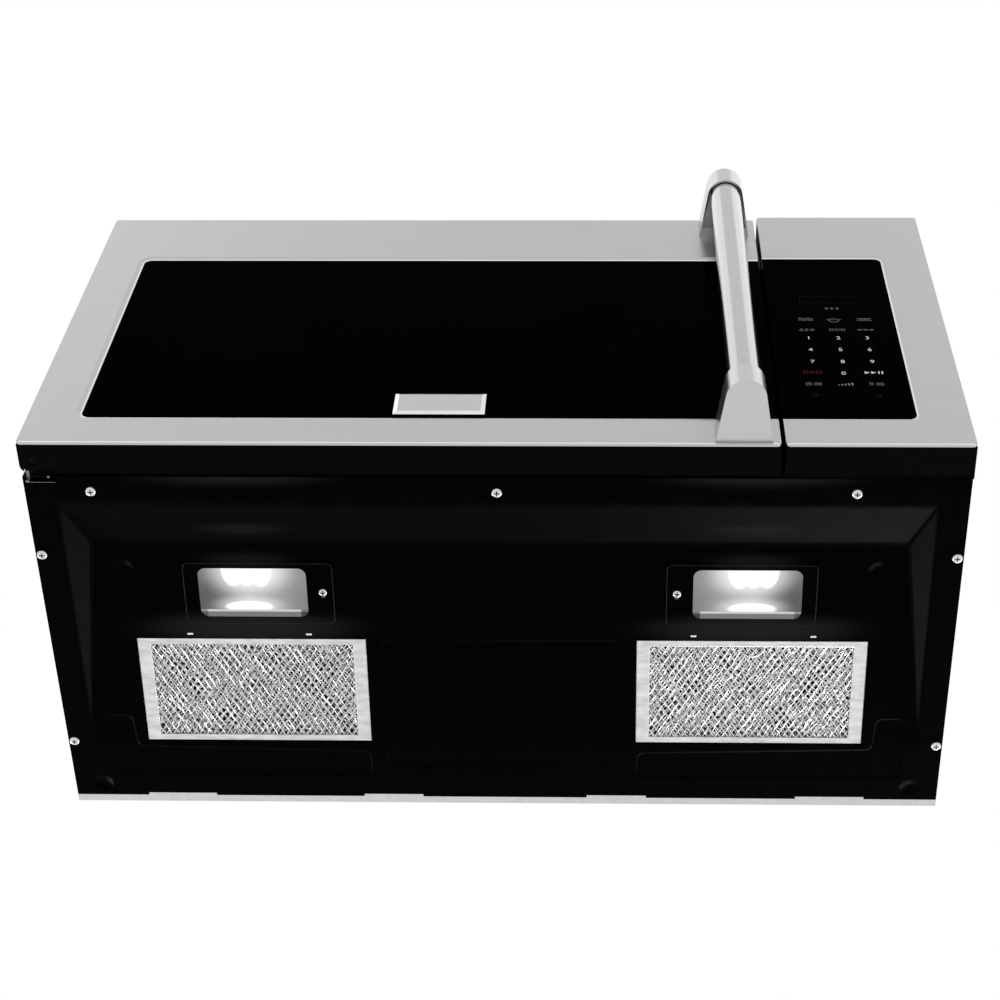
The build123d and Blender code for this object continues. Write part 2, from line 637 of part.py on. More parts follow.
def make_post(low, cap_at_bottom):
    """A handle post: a cap over the end of the bar, open towards the bar, on a solid foot."""
    high = low + POST_HEIGHT
    outer = extrude(Pos(0, 0, low) * post_outline(POST_NOSE_R, POST_BASE), POST_HEIGHT, dir=(0, 0, 1))
    inner_low, inner_high = (low + POST_CAP, high + 1) if cap_at_bottom else (low - 1, high - POST_CAP)
    inner_plan = post_outline(POST_NOSE_R - POST_WALL, POST_BASE - 2 * POST_WALL)
    inner = extrude(Pos(0, 0, inner_low) * inner_plan, inner_high - inner_low, dir=(0, 0, 1))
    foot_room = block((HANDLE_X - 40, HANDLE_X + 40), (behind(-POST_FOOT), behind(1)), (low - 2, high + 2))
    hole = rod("Y", HANDLE_SCREW_R, (HANDLE_X, low + POST_HEIGHT / 2), (behind(-POST_FOOT - 1), behind(1)))
    return outer - (inner - foot_room) - hole


def make_handle_post_lower():
    return make_post(LOWER_POST_Z, cap_at_bottom=True)


def make_handle_post_upper():
    return make_post(UPPER_POST_Z, cap_at_bottom=False)


def make_handle_bar():
    span = (LOWER_POST_Z + POST_CAP, UPPER_POST_Z + POST_HEIGHT - POST_CAP)
    tube = rod("Z", BAR_R, (HANDLE_X, HANDLE_Y), span)
    return tube - rod("Z", BAR_R - BAR_WALL, (HANDLE_X, HANDLE_Y), (span[0] - 1, span[1] + 1))


def make_handle_screws():
    head_r, head_h = HANDLE_SCREW_HEAD
    seat = behind(BODY_FACE_BACK)
    screws = []
    for z in post_screw_heights():
        head = rod("Y", head_r, (HANDLE_X, z), (seat, seat + head_h))
        shank = rod("Y", HANDLE_SCREW_R, (HANDLE_X, z), (behind(1 - POST_FOOT), seat))
        screws.append(head + shank)
    return Compound(children=screws)


# ---------------------------------------------------------------- control panel
def board_pegs():
    """X and Z of the four pegs that carry the control board."""
    middle = (PANEL_LEFT + RIGHT) / 2
    level = HEIGHT / 2
    across, up = BOARD_SIZE[0] / 2 - 6, BOARD_SIZE[1] / 2 - 6
    return [(middle + i * across, level + j * up) for i in (-1, 1) for j in (-1, 1)]


def make_control_panel_housing():
    low, high = PANEL_Z
    shell = block(PANEL_X, (behind(SKIN), behind(FRAME_FACE)), PANEL_Z)
    inside = block(
        (PANEL_LEFT + PLASTIC, RIGHT - PLASTIC),
        (behind(BODY_FACE_BACK), behind(FRAME_FACE) + 1),
        (low + PLASTIC, high - PLASTIC),
    )
    glass_room = block(
        (PANEL_LEFT - 1, PANEL_GLASS_X[1] + GLASS_GAP),
        (behind(0), behind(GLASS_BACK)),
        (PANEL_GLASS_Z[0] - GLASS_GAP, PANEL_GLASS_Z[1] + GLASS_GAP),
    )
    shell = cut(shell, [inside, glass_room])
    span = (behind(BODY_FACE_BACK - 1), behind(BOARD_BACK))
    return together([shell] + [rod("Y", BOARD_PEG_R, peg, span) for peg in board_pegs()])


def make_control_board():
    x = about((PANEL_LEFT + RIGHT) / 2, BOARD_SIZE[0])
    z = about(HEIGHT / 2, BOARD_SIZE[1])
    rear = BOARD_BACK + BOARD_THICK
    board = block(x, (behind(BOARD_BACK), behind(rear)), z)
    tall = (behind(rear), behind(rear + BOARD_PARTS))
    relays = [block(about(x[0] + 30 + i * 24, 18), tall, about(z[0] + 40, 16)) for i in range(3)]
    supply = block(about(x[1] - 40, 42), tall, about(z[1] - 60, 34))
    return together([board, *relays, supply])


# ---------------------------------------------------------------- case
def frame_notches():
    """The front frame's openings for the two hinge straps, open at the lower edge."""
    low, high = DOOR_Z
    reach = HINGE_LIFT + HINGE_STRAP
    rear = FRAME_FACE + HINGE_NOTCH[2]
    left = HINGE_X - HINGE_NOSE_R
    face_y = (behind(FRAME_FACE) - 1, behind(FRAME_REAR) + 0.5)
    upper = block((left, left + HINGE_STRAP_WIDTH), face_y, (high - reach, high - HINGE_LIFT))
    lower = hinge_notch(FRAME_FACE - 1, FRAME_REAR, (0, low + reach))
    return [upper, lower, hinge_notch(FRAME_FACE - 1, rear, (0, low + FRAME_SHEET + 0.5))]


def screw_places():
    """X and Y of the screws under the base plate."""
    front = [(x, behind(FRONT_SCREW_BACK)) for x in FRONT_SCREWS]
    sides = [(x, behind(back)) for x in (-SIDE_SCREW_X, SIDE_SCREW_X) for back in SIDE_SCREW_BACKS]
    return front + sides


def screw_holes():
    return [rod("Z", SCREW_R, place, (-1, 12)) for place in screw_places()]


def make_front_frame():
    face_y = (behind(FRAME_FACE), behind(FRAME_REAR))
    skirt_y = (behind(FRAME_FACE), behind(FRAME_FACE + SKIRT))
    joggle_y = (behind(FRAME_FACE + SKIRT - 6), behind(FRAME_FACE + SKIRT + FLANGE))
    low = SHEET
    top = CASE_TOP - SHEET
    grille_end = behind(FRAME_REAR + GRILLE_DEPTH)
    plate = block((-CASE_HALF, CASE_HALF), face_y, (low, FRAME_TOP))
    pieces = [plate]
    for side in (-1, 1):
        outer = side * CASE_HALF
        inner = side * (CASE_HALF - EAR_WIDTH)
        skirt_in = side * (CASE_HALF - FRAME_SHEET)
        joggle = side * (CASE_HALF - SHEET)
        joggle_in = side * (CASE_HALF - SHEET - FRAME_SHEET)
        pieces.append(block(sorted((outer, inner)), face_y, (low, top)))
        pieces.append(block(sorted((outer, skirt_in)), skirt_y, (low, top)))
        pieces.append(block(sorted((joggle, joggle_in)), joggle_y, (low, top)))
        cheek = sorted((inner, inner + side * FRAME_SHEET))
        pieces.append(block(cheek, (behind(FRAME_FACE), grille_end), (FRAME_TOP - 2, top)))
        pieces.append(block(sorted((joggle, inner)), joggle_y, (top - FRAME_SHEET, top)))
        pieces.append(block(sorted((outer, inner)), skirt_y, (top - FRAME_SHEET, top)))
    floor_y = (behind(FRAME_FACE), behind(POCKET_FRONT - 1.5))
    pieces.append(block((SHEET - CASE_HALF, CASE_HALF - SHEET), floor_y, (low, low + FRAME_SHEET)))
    ledge_y = (behind(FRAME_FACE), behind(FRAME_FACE + FLANGE))
    ledge_x = (EAR_WIDTH - CASE_HALF, CASE_HALF - EAR_WIDTH)
    pieces.append(block(ledge_x, ledge_y, (FRAME_TOP - FRAME_SHEET, FRAME_TOP)))
    opening = block((CAVITY_LEFT, CAVITY_RIGHT), (behind(0), behind(90)), (CAVITY_FLOOR, CAVITY_CEILING))
    (wiring_x, wiring_z), (wide, high) = WIRING
    wiring = block(about(wiring_x, wide), (behind(0), behind(90)), about(wiring_z, high))
    return cut(together(pieces), [opening, wiring, *latch_slots(4, 4), *frame_notches(), *screw_holes()])


def make_outer_case():
    start = behind(FRAME_FACE + SKIRT)
    rear = -SHEET
    top_start = behind(FRAME_REAR + GRILLE_DEPTH)
    pieces = [block((-CASE_HALF, CASE_HALF), (top_start, rear), (CASE_TOP - SHEET, CASE_TOP))]
    for side in (-1, 1):
        wall = sorted((side * CASE_HALF, side * (CASE_HALF - SHEET)))
        turned = sorted((side * CASE_HALF, side * (CASE_HALF - FLANGE)))
        strip = sorted((side * CASE_HALF, side * (CASE_HALF - EAR_WIDTH)))
        pieces.append(block(wall, (start, rear), (SHEET, CASE_TOP)))
        pieces.append(block(turned, (start + FLANGE + 1, rear), (SHEET, 2 * SHEET)))
        pieces.append(block(strip, (start, rear), (CASE_TOP - SHEET, CASE_TOP)))
    nut_r, nut_h = BOLT_NUT
    bolts = [(x, -BOLT_BACK) for x in (-CABINET_BOLTS / 2, CABINET_BOLTS / 2)]
    pieces += [rod("Z", nut_r, place, (CASE_TOP - SHEET - nut_h, CASE_TOP)) for place in bolts]
    through = about(CASE_TOP, 20)
    duct = block(about(0, EXHAUST[0]), (-EXHAUST_BACK - EXHAUST[1], -EXHAUST_BACK), through)
    holes = [rod("Z", BOLT_R, place, through) for place in bolts]
    holes.append(rod("Z", GLAND_R, GLAND_PLACE, through))
    return cut(together(pieces), [duct, *holes, *screw_holes()])


def notch_spans(extra=0.0):
    """X limits of the wall plate notches."""
    return [about(middle, width + extra) for middle, width in NOTCHES]


def make_rear_panel():
    plate = block((-CASE_HALF, CASE_HALF), (-SHEET, 0), (0, CASE_TOP))
    foot = block((-CASE_HALF, CASE_HALF), (-REAR_STRIP, 0), (0, SHEET))
    wide = [block(x, (-REAR_STRIP - REAR_NOTCH, 0), (0, SHEET)) for x in notch_spans()]
    tongues = [block(x, (-REAR_STRIP - 15, -REAR_STRIP + 2), (SHEET, 2 * SHEET)) for x in notch_spans(-8.0)]
    pieces = [plate, foot, *wide, *tongues]
    inner = CASE_HALF - SHEET
    under = CASE_TOP - SHEET
    for side in (-1, 1):
        turned = sorted((side * inner, side * (inner - SHEET)))
        pieces.append(block(turned, (-FLANGE, 0), (3 * SHEET, under)))
    pieces.append(block((-inner, inner), (-FLANGE, 0), (under - SHEET, under)))
    return together(pieces)


def pocket(rise):
    """The sloped pocket of the base plate, moved up by RISE."""
    front, ledge, end = behind(POCKET_FRONT), behind(POCKET_LEDGE), behind(POCKET_END)
    points = [
        (-POCKET_HALF_FRONT, front, rise),
        (POCKET_HALF_FRONT, front, rise),
        (POCKET_HALF_END, end, rise),
        (-POCKET_HALF_END, end, rise),
        (-POCKET_HALF_LEDGE, ledge, rise + POCKET_DEEP),
        (POCKET_HALF_LEDGE, ledge, rise + POCKET_DEEP),
    ]
    faces = [(0, 3, 2, 1), (0, 1, 5, 4), (0, 4, 3), (1, 2, 5), (4, 5, 2, 3)]
    return polyhedron(points, faces)


def both_sides(tools):
    """The tools and their mirror images."""
    tools = list(tools)
    return tools + [mirrored(tool) for tool in tools]


def filter_room(grow):
    """The grease filter's opening, grown on every side, on the slope."""
    x = about(FILTER_MIDDLE[0], FILTER_SIZE[0] + 2 * (FILTER_GAP + grow))
    s = about(FILTER_MIDDLE[1], FILTER_SIZE[1] + 2 * (FILTER_GAP + grow))
    return x, s


def lens_size():
    return (LAMP_SIZE[0] + 2 * LENS_LAP, LAMP_SIZE[1] + 2 * LENS_LAP)


def make_dimple_tools(x, s):
    """What to add above and to take away below for a round dimple pressed up into the sheet."""
    ball = (DIMPLE_R ** 2 + DIMPLE_DEEP ** 2) / (2 * DIMPLE_DEEP)
    centre = Pos(x, s, DIMPLE_DEEP - ball)
    above = centre * Sphere(ball + SHEET) & block(about(x, 60), about(s, 60), (SHEET / 2, 10))
    return above, centre * Sphere(ball)


def make_base_plate():
    rim = block((-CASE_HALF, CASE_HALF), (behind(FRAME_FACE + MOVE_GAP), -REAR_STRIP), (0, SHEET))
    notches = [block(x, (-REAR_STRIP - REAR_NOTCH, 0), (-1, SHEET + 1)) for x in notch_spans()]
    notches.append(hinge_notch(FRAME_FACE - 1, FRAME_FACE + HINGE_NOTCH[2], (-1, SHEET + 1)))
    trays = [block(*filter_room(SHEET), (0.3, TRAY_RISE))]
    plate = cut(rim, notches) + pocket(SHEET)
    slope_dimple = [on_slope(tool) for tool in make_dimple_tools(*DIMPLE_SLOPE)]
    flat_dimple = make_dimple_tools(DIMPLE_REAR[0], behind(DIMPLE_REAR[1]))
    raised = both_sides([slope_dimple[0], flat_dimple[0]])
    plate = together([plate, *[on_slope(tray) for tray in both_sides(trays)], *raised]) - pocket(0.0)
    plate = cut(plate, both_sides([slope_dimple[1], flat_dimple[1]]))
    lens_x, lens_s = lens_size()
    room = 0.8
    tools = [
        block(*filter_room(0.0), (-3, TRAY_RISE + 1)),
        block(about(LAMP_MIDDLE[0], lens_x + 2 * room), about(LAMP_MIDDLE[1], lens_s + 2 * room), (-3, 3)),
        rod("Z", SCREW_R + 0.6, LAMP_SCREW, (-3, 3)),
    ]
    tools += [block(about(x, TAB_SLOT[0]), about(TAB_S, TAB_SLOT[1]), (-3, 3)) for x in TAB_PLACES]
    thick, width, rise = COVER_HOOK
    hook_x = (COVER_X[1] - thick - rise, COVER_X[1] + 2 * MOVE_GAP)
    tools += [block(hook_x, about(s, width + 2), (-3, 3)) for s in COVER_HOOKS]
    plate = cut(plate, [on_slope(tool) for tool in both_sides(tools)])
    return cut(plate, screw_holes())


def make_case_screws():
    screw = pan_screw(SCREW_HEAD_R, SCREW_HEAD_H, SCREW_R, SCREW_LENGTH)
    return Compound(children=[Pos(x, y, 0) * screw for x, y in screw_places()])


def grille_section():
    """The sloped vent grille's section in the YZ plane, as (behind the front face, height)."""
    start, low = FRAME_FACE + 1.5, FRAME_TOP
    end, high = FRAME_REAR + GRILLE_DEPTH, CASE_TOP
    wall = GRILLE_WALL
    lean = wall * 1.4142
    return [
        (start, low),
        (start + FLANGE, low),
        (start + FLANGE, low + wall),
        (start + lean, low + wall),
        (end + 1, high - SHEET - wall),
        (end + FLANGE, high - SHEET - wall),
        (end + FLANGE, high - SHEET),
        (end, high - SHEET),
        (end, high),
        (end - 1, high),
        (start, low + wall),
    ]


def make_vent_grille():
    half = CASE_HALF - EAR_WIDTH - MOVE_GAP
    points = [(0, behind(back), z) for back, z in grille_section()]
    section = Face(Wire.make_polygon(points, close=True))
    strip = Pos(-half, 0, 0) * extrude(section, amount=2 * half, dir=(1, 0, 0))
    start, end = points[0][1], behind(FRAME_REAR + GRILLE_DEPTH)
    corners = [(0, start, FRAME_TOP), (0, end, FRAME_TOP), (0, end, CASE_TOP - SHEET)]
    cheek = extrude(Face(Wire.make_polygon(corners, close=True)), amount=GRILLE_WALL, dir=(1, 0, 0))
    body = together([strip, Pos(-half, 0, 0) * cheek, Pos(half - GRILLE_WALL, 0, 0) * cheek])
    slope = Plane(
        origin=(0, (start + end) / 2, (FRAME_TOP + CASE_TOP) / 2),
        x_dir=(1, 0, 0),
        z_dir=(0, -(CASE_TOP - FRAME_TOP), end - start),
    )
    columns = int((2 * half - GRILLE_PITCH) / GRILLE_PITCH)
    rise = SLOT_SIZE[1] + 6.0
    slots = []
    for row in range(GRILLE_ROWS):
        for column in range(columns):
            x = (column - (columns - 1) / 2) * GRILLE_PITCH
            s = (row - (GRILLE_ROWS - 1) / 2) * rise
            slots.append(slope.location * Pos(x, s, 0) * Box(SLOT_SIZE[0], SLOT_SIZE[1], 12))
    return cut(body, slots)


def make_charcoal_filter():
    y = (behind(CHARCOAL_BACK), behind(CHARCOAL_BACK + CHARCOAL[1]))
    return block(about(0, CHARCOAL[0]), y, (CAVITY_ROOF, CASE_TOP - SHEET - MOVE_GAP))


def make_cord_gland():
    """A bushing from under the case's top, flush with it so that a cabinet can lie flat on the case."""
    flange_r, flange_h = GLAND_FLANGE
    under = CASE_TOP - SHEET
    end = CASE_TOP - GLAND_LENGTH
    flange = rod("Z", flange_r, GLAND_PLACE, (under - flange_h, under))
    barrel = rod("Z", GLAND_R, GLAND_PLACE, (end, CASE_TOP))
    return flange + barrel - rod("Z", GLAND_BORE, GLAND_PLACE, (end - 1, CASE_TOP + 1))


# ---------------------------------------------------------------- cavity and chassis
def make_chassis_floor():
    z = (CHASSIS_TOP - FRAME_SHEET, CHASSIS_TOP)
    half = CASE_HALF - SHEET - FRAME_SHEET
    floor = block((-half, half), (behind(FRAME_REAR), CAVITY_BACK), z)
    turned_y = (behind(FRAME_REAR), behind(FRAME_REAR + FRAME_SHEET))
    turned = block((CAVITY_LEFT, CAVITY_RIGHT), turned_y, (z[0] - FLANGE, z[1]))
    legs = [block(about(x, 40.0), (CAVITY_BACK - 1, -SHEET), z) for x in (-220.0, 220.0)]
    hole = rod("Z", COUPLER_R, (TURN_X, TURN_Y), (z[0] - 1, z[1] + 1))
    return together([floor, turned, *legs]) - hole


def make_oven_cavity():
    x = (CAVITY_LEFT - SHEET, CAVITY_RIGHT + SHEET)
    shell = block(x, (behind(FRAME_REAR), CAVITY_BACK + SHEET), (CAVITY_FLOOR - SHEET, CAVITY_ROOF))
    room = block((CAVITY_LEFT, CAVITY_RIGHT), (behind(0), CAVITY_BACK), (CAVITY_FLOOR, CAVITY_CEILING))
    spindle = rod("Z", SPINDLE_R + 1, (TURN_X, TURN_Y), (CAVITY_FLOOR - 5, CAVITY_FLOOR + 5))
    window = block(
        (CAVITY_RIGHT - 5, CAVITY_RIGHT + 5),
        about(GUIDE_MIDDLE[0], GUIDE_WINDOW[0]),
        about(GUIDE_MIDDLE[1], GUIDE_WINDOW[1]),
    )
    return cut(shell, [room, spindle, window])


# ---------------------------------------------------------------- turntable
def make_turntable_motor():
    top = CHASSIS_TOP - FRAME_SHEET
    can = rod("Z", MOTOR_R, (TURN_X, TURN_Y), (top - MOTOR_HIGH, top))
    ears = block(about(TURN_X, 2 * MOTOR_R + 16), about(TURN_Y, 10), (top - FRAME_SHEET, top))
    return can + ears - rod("Z", SPINDLE_R + RUNNING, (TURN_X, TURN_Y), (top - SPINDLE_DEEP - 1, top + 1))


def make_turntable_coupler():
    centre = (TURN_X, TURN_Y)
    low = CAVITY_FLOOR + 4 * MOVE_GAP
    hub = rod("Z", COUPLER_R * 0.6, centre, (low, TRAY_Z))
    lobes = []
    for i in range(3):
        lobe = block((0, COUPLER_R), about(0, 6.0), (low + 3, TRAY_Z))
        lobes.append(Pos(TURN_X, TURN_Y, 0) * Rot(0, 0, 120 * i) * lobe)
    spindle = rod("Z", SPINDLE_R, centre, (CHASSIS_TOP - FRAME_SHEET - SPINDLE_DEEP, low + 1))
    return together([hub, *lobes, spindle])


def make_glass_tray():
    low = TRAY_Z
    disc = rod("Z", TRAY_R, (TURN_X, TURN_Y), (low, low + TRAY_RIM))
    well = Pos(TURN_X, TURN_Y, low + TRAY_THICK + 10) * Cone(TRAY_R - 14, TRAY_R + 12, 20)
    return disc - well


def roller_spoke(i):
    """Placement of a roller drawn with its axle along +X from the turntable's axis."""
    return Pos(TURN_X, TURN_Y, ROLLER_Z) * Rot(0, 0, 90 + 360 / ROLLERS * i)


def make_roller_ring():
    centre = (TURN_X, TURN_Y)
    z = about(ROLLER_Z, RING_HIGH)
    ring = rod("Z", RING_R, centre, z) - rod("Z", RING_R - RING_WIDE, centre, (z[0] - 1, z[1] + 1))
    outer = ROLLER_AT + ROLLER_WIDE / 2 + MOVE_GAP
    axles = []
    for i in range(ROLLERS):
        axle = rod("X", AXLE_R, (0, 0), (RING_R - 2, outer + 1.5))
        stop = rod("X", AXLE_R * 1.6, (0, 0), (outer, outer + 1.5))
        axles.append(roller_spoke(i) * (axle + stop))
    return together([ring, *axles])


def make_roller(i):
    span = about(ROLLER_AT, ROLLER_WIDE)
    wheel = rod("X", ROLLER_R, (0, 0), span)
    wheel = fillet(wheel.edges().filter_by(GeomType.CIRCLE), 1.0)
    return roller_spoke(i) * (wheel - rod("X", AXLE_R + RUNNING, (0, 0), (span[0] - 1, span[1] + 1)))


# ---------------------------------------------------------------- vent blower
def make_blower_housing():
    centre = (BLOWER_Y, BLOWER_Z)
    half = BLOWER_LONG / 2
    wall = BLOWER_WALL
    top = CASE_TOP - SHEET
    duct_x = EXHAUST[0] / 2
    duct_y = (-EXHAUST_BACK - EXHAUST[1], -EXHAUST_BACK)
    outer = [
        rod("X", BLOWER_R, centre, (-half, half)),
        block((-duct_x - wall, duct_x + wall), (duct_y[0] - wall, duct_y[1] + wall), (BLOWER_Z, top)),
        block((-half, half), about(BLOWER_Y, BLOWER_R), (CAVITY_ROOF, CAVITY_ROOF + 6)),
    ]
    inner = [
        rod("X", BLOWER_R - wall, centre, (wall - half, half - wall)),
        block((-duct_x, duct_x), duct_y, (BLOWER_Z, top + 1)),
        rod("X", INLET_R, centre, (-half - 1, half + 1)),
    ]
    shell = cut(together(outer), inner)
    web_x = (-BLOWER_MOTOR_LONG / 2 - wall, -BLOWER_MOTOR_LONG / 2)
    web = rod("X", BLOWER_R - wall / 2, centre, web_x)
    return shell + (web - rod("X", 3 * SHAFT_R, centre, about(web_x[0], 6)))


def make_blower_motor():
    half = BLOWER_MOTOR_LONG / 2
    centre = (BLOWER_Y, BLOWER_Z)
    can = rod("X", BLOWER_MOTOR_R, centre, (-half, half))
    can = fillet(can.edges().filter_by(GeomType.CIRCLE), 3.0)
    return can - rod("X", SHAFT_R + RUNNING, centre, (-half - 1, half + 1))


def wheel_start():
    """X of the inner face of the right hand wheel's disc."""
    return BLOWER_MOTOR_LONG / 2 + 12.0


def make_blower_shaft():
    end = wheel_start() + WHEEL_DISC + SHAFT_END
    return rod("X", SHAFT_R, (BLOWER_Y, BLOWER_Z), (-end, end))


def make_blower_wheel():
    """The right hand wheel: hub disc, a ring at the open end and forward blades."""
    start = wheel_start()
    end = start + WHEEL_LONG
    disc = rod("X", WHEEL_R, (0, 0), (start, start + WHEEL_DISC))
    ring = rod("X", WHEEL_R, (0, 0), (end - 4, end)) - rod("X", WHEEL_INNER, (0, 0), (end - 5, end + 1))
    hub = rod("X", 2 * SHAFT_R, (0, 0), (start, start + WHEEL_DISC + SHAFT_END))
    blade = block((start, end), (WHEEL_INNER + 0.5, WHEEL_R - 0.5), about(0, BLADE_THICK))
    blades = [Rot(360 / BLADES * i, 0, 0) * blade for i in range(BLADES)]
    wheel = together([disc, ring, hub, *blades]) - rod("X", SHAFT_R, (0, 0), (start - 1, start + 20))
    return Pos(0, BLOWER_Y, BLOWER_Z) * wheel


# ---------------------------------------------------------------- microwave source and cooling
def make_waveguide():
    x = (CAVITY_RIGHT + SHEET, CAVITY_RIGHT + SHEET + GUIDE_SIZE[0])
    y = about(GUIDE_MIDDLE[0], GUIDE_SIZE[1])
    z = about(GUIDE_MIDDLE[1], GUIDE_SIZE[2])
    shell = block(x, y, z)
    room = block((x[0] - 1, x[1] - SHEET), (y[0] + SHEET, y[1] - SHEET), (z[0] + SHEET, z[1] - SHEET))
    hole = rod("X", ANTENNA_R + 1, (GUIDE_MIDDLE[0], GUIDE_MIDDLE[1]), (x[1] - 5, x[1] + 5))
    return shell - room - hole


def make_waveguide_cover():
    x = (CAVITY_RIGHT - COVER_SHEET[2], CAVITY_RIGHT)
    return block(x, about(GUIDE_MIDDLE[0], COVER_SHEET[0]), about(GUIDE_MIDDLE[1], COVER_SHEET[1]))


def make_magnetron():
    start = CAVITY_RIGHT + SHEET + GUIDE_SIZE[0]
    x = (start, start + MAGNETRON[0])
    y = about(GUIDE_MIDDLE[0], MAGNETRON[1])
    z = about(GUIDE_MIDDLE[1], MAGNETRON[2])
    yoke = block(x, y, z) - block((x[0] + 2, x[1] - 2), (y[0] - 1, y[1] + 1), (z[0] + 2, z[1] - 2))
    core = rod("X", 18.0, (GUIDE_MIDDLE[0], GUIDE_MIDDLE[1]), (x[0] + 1, x[1] - 1))
    step = (MAGNETRON[0] - 24) / (FINS - 1)
    fins = [
        block((x[0] + 12 + i * step, x[0] + 12.8 + i * step), y, (z[0] + 1, z[1] - 1))
        for i in range(FINS)
    ]
    antenna = rod("X", ANTENNA_R, (GUIDE_MIDDLE[0], GUIDE_MIDDLE[1]), (x[0] - 16, x[0] + 1))
    return together([yoke, core, *fins, antenna])


def make_hv_transformer():
    x = about(BAY_X, TRANSFORMER[0])
    y = about(TRANSFORMER_Y, TRANSFORMER[1])
    z = (CHASSIS_TOP, CHASSIS_TOP + TRANSFORMER[2])
    core = block(x, y, z)
    coil = block((x[0] + 12, x[1] - 12), (y[0] - COIL_PROUD, y[1] + COIL_PROUD), (z[0] + 12, z[1] - 12))
    coil = rounded(coil, Axis.Z, COIL_PROUD * 0.7)
    return core + coil


def make_hv_capacitor():
    long, wide, high = CAPACITOR
    plan = Pos(BAY_X, CAPACITOR_Y) * SlotOverall(long, wide)
    can = extrude(Pos(0, 0, CHASSIS_TOP) * plan, high, dir=(0, 0, 1))
    pin_z = (CHASSIS_TOP + high, CHASSIS_TOP + high + 10)
    pins = [block(about(BAY_X + side * 9, 6.3), about(CAPACITOR_Y, 0.8), pin_z) for side in (-1, 1)]
    return together([can, *pins])


def fan_centre():
    """X and Z of the cooling fan's axis."""
    return (BAY_X, CHASSIS_TOP + FAN_FRAME / 2)


def make_cooling_fan_housing():
    x, z = fan_centre()
    rear = FAN_REAR
    front = rear - FAN_DEEP
    frame = block(about(x, FAN_FRAME), (front, rear), about(z, FAN_FRAME))
    throat = FAN_R + 3
    duct = rod("Y", throat, (x, z), (front - 1, rear - 2))
    web = (rear - 3, rear + 1)
    ring = rod("Y", throat, (x, z), web) - rod("Y", FAN_MOTOR[0], (x, z), web)
    spokes = [
        block(about(x, 2 * throat), web, about(z, 6)),
        block(about(x, 6), web, about(z, 2 * throat)),
    ]
    return cut(frame, [duct, cut(ring, spokes), rod("Y", FAN_SHAFT_R + 1, (x, z), (front, rear + 1))])


def make_cooling_fan_motor():
    x, z = fan_centre()
    radius, deep = FAN_MOTOR
    can = rod("Y", radius, (x, z), (FAN_REAR, FAN_REAR + deep))
    return can - rod("Y", FAN_SHAFT_R + RUNNING, (x, z), (FAN_REAR - 1, FAN_REAR + deep - 3))


def make_cooling_fan_wheel():
    x, z = fan_centre()
    rear = FAN_REAR
    hub_y = (rear - FAN_DEEP + 2, rear - 3)
    hub = rod("Y", FAN_HUB, (0, 0), hub_y)
    shaft = rod("Y", FAN_SHAFT_R, (0, 0), (hub_y[0], rear + FAN_MOTOR[1] - 5))
    middle = (hub_y[0] + hub_y[1]) / 2
    blades = []
    for i in range(FAN_BLADES):
        blade = Rot(32, 0, 0) * block((FAN_HUB - 1.5, FAN_R - 1), about(0, 1.6), about(0, 24))
        blades.append(Rot(0, 360 / FAN_BLADES * i, 0) * blade)
    limit = rod("Y", FAN_R, (0, 0), (hub_y[0] - middle, hub_y[1] - middle))
    vanes = Pos(0, middle, 0) * (together(blades) & limit)
    return Pos(x, 0, z) * together([hub, shaft, vanes])


# ---------------------------------------------------------------- door switches
def make_latch_switch_bracket():
    y = (behind(FRAME_REAR), behind(FRAME_REAR + BRACKET_DEEP))
    low = min(SWITCH_LEVELS[0], HOOK_LEVELS[0]) - 24
    high = max(SWITCH_LEVELS[-1], HOOK_LEVELS[-1]) + 38
    wall = block((BRACKET_X, BRACKET_X + PLASTIC), y, (low, high))
    flange = block((BRACKET_X, BRACKET_X + FLANGE), (y[0], y[0] + PLASTIC), (low, high))
    shelves = []
    for level in HOOK_LEVELS:
        reach = HOOK_NOSE[1] + 5
        shelf_z = (level - reach - PLASTIC, level - reach)
        shelves.append(block((LATCH_X - LATCH_WIDTH, BRACKET_X + 1), y, shelf_z))
    return together([wall, flange, *shelves])


def make_interlock_switches():
    wide, deep, high = SWITCH_SIZE
    x = (BRACKET_X + PLASTIC, BRACKET_X + PLASTIC + wide)
    start = FRAME_REAR + PLASTIC + 1
    return Compound(children=[
        block(x, (behind(start), behind(start + deep)), about(level, high)) for level in SWITCH_LEVELS
    ])


# ---------------------------------------------------------------- lamps and grease filters, right hand
def make_lamp_cover():
    plate = block(COVER_X, COVER_S, (-COVER_THICK - MOVE_GAP, -MOVE_GAP))
    plate = rounded(plate, Axis.Z, COVER_CORNER)
    window = block(about(LAMP_MIDDLE[0], LAMP_SIZE[0]), about(LAMP_MIDDLE[1], LAMP_SIZE[1]), (-5, 5))
    window = rounded(window, Axis.Z, GLASS_CORNER)
    thick, width, rise = COVER_HOOK
    hook_x = (COVER_X[1] - thick, COVER_X[1])
    hook_h = (-MOVE_GAP - COVER_THICK, rise - MOVE_GAP)
    hooks = [block(hook_x, about(s, width), hook_h) for s in COVER_HOOKS]
    x, s = LAMP_SCREW
    key = block(about(x, 2 * SCREW_R), (s, s + LAMP_KEY), (-5, 5))
    return on_slope(cut(together([plate - window, *hooks]), [rod("Z", SCREW_R, LAMP_SCREW, (-5, 5)), key]))


def make_lamp_lens():
    wide, deep = lens_size()
    x, s = LAMP_MIDDLE
    lens = block(about(x, wide), about(s, deep), (-MOVE_GAP, LENS_THICK - MOVE_GAP))
    return on_slope(rounded(lens, Axis.Z, GLASS_CORNER))


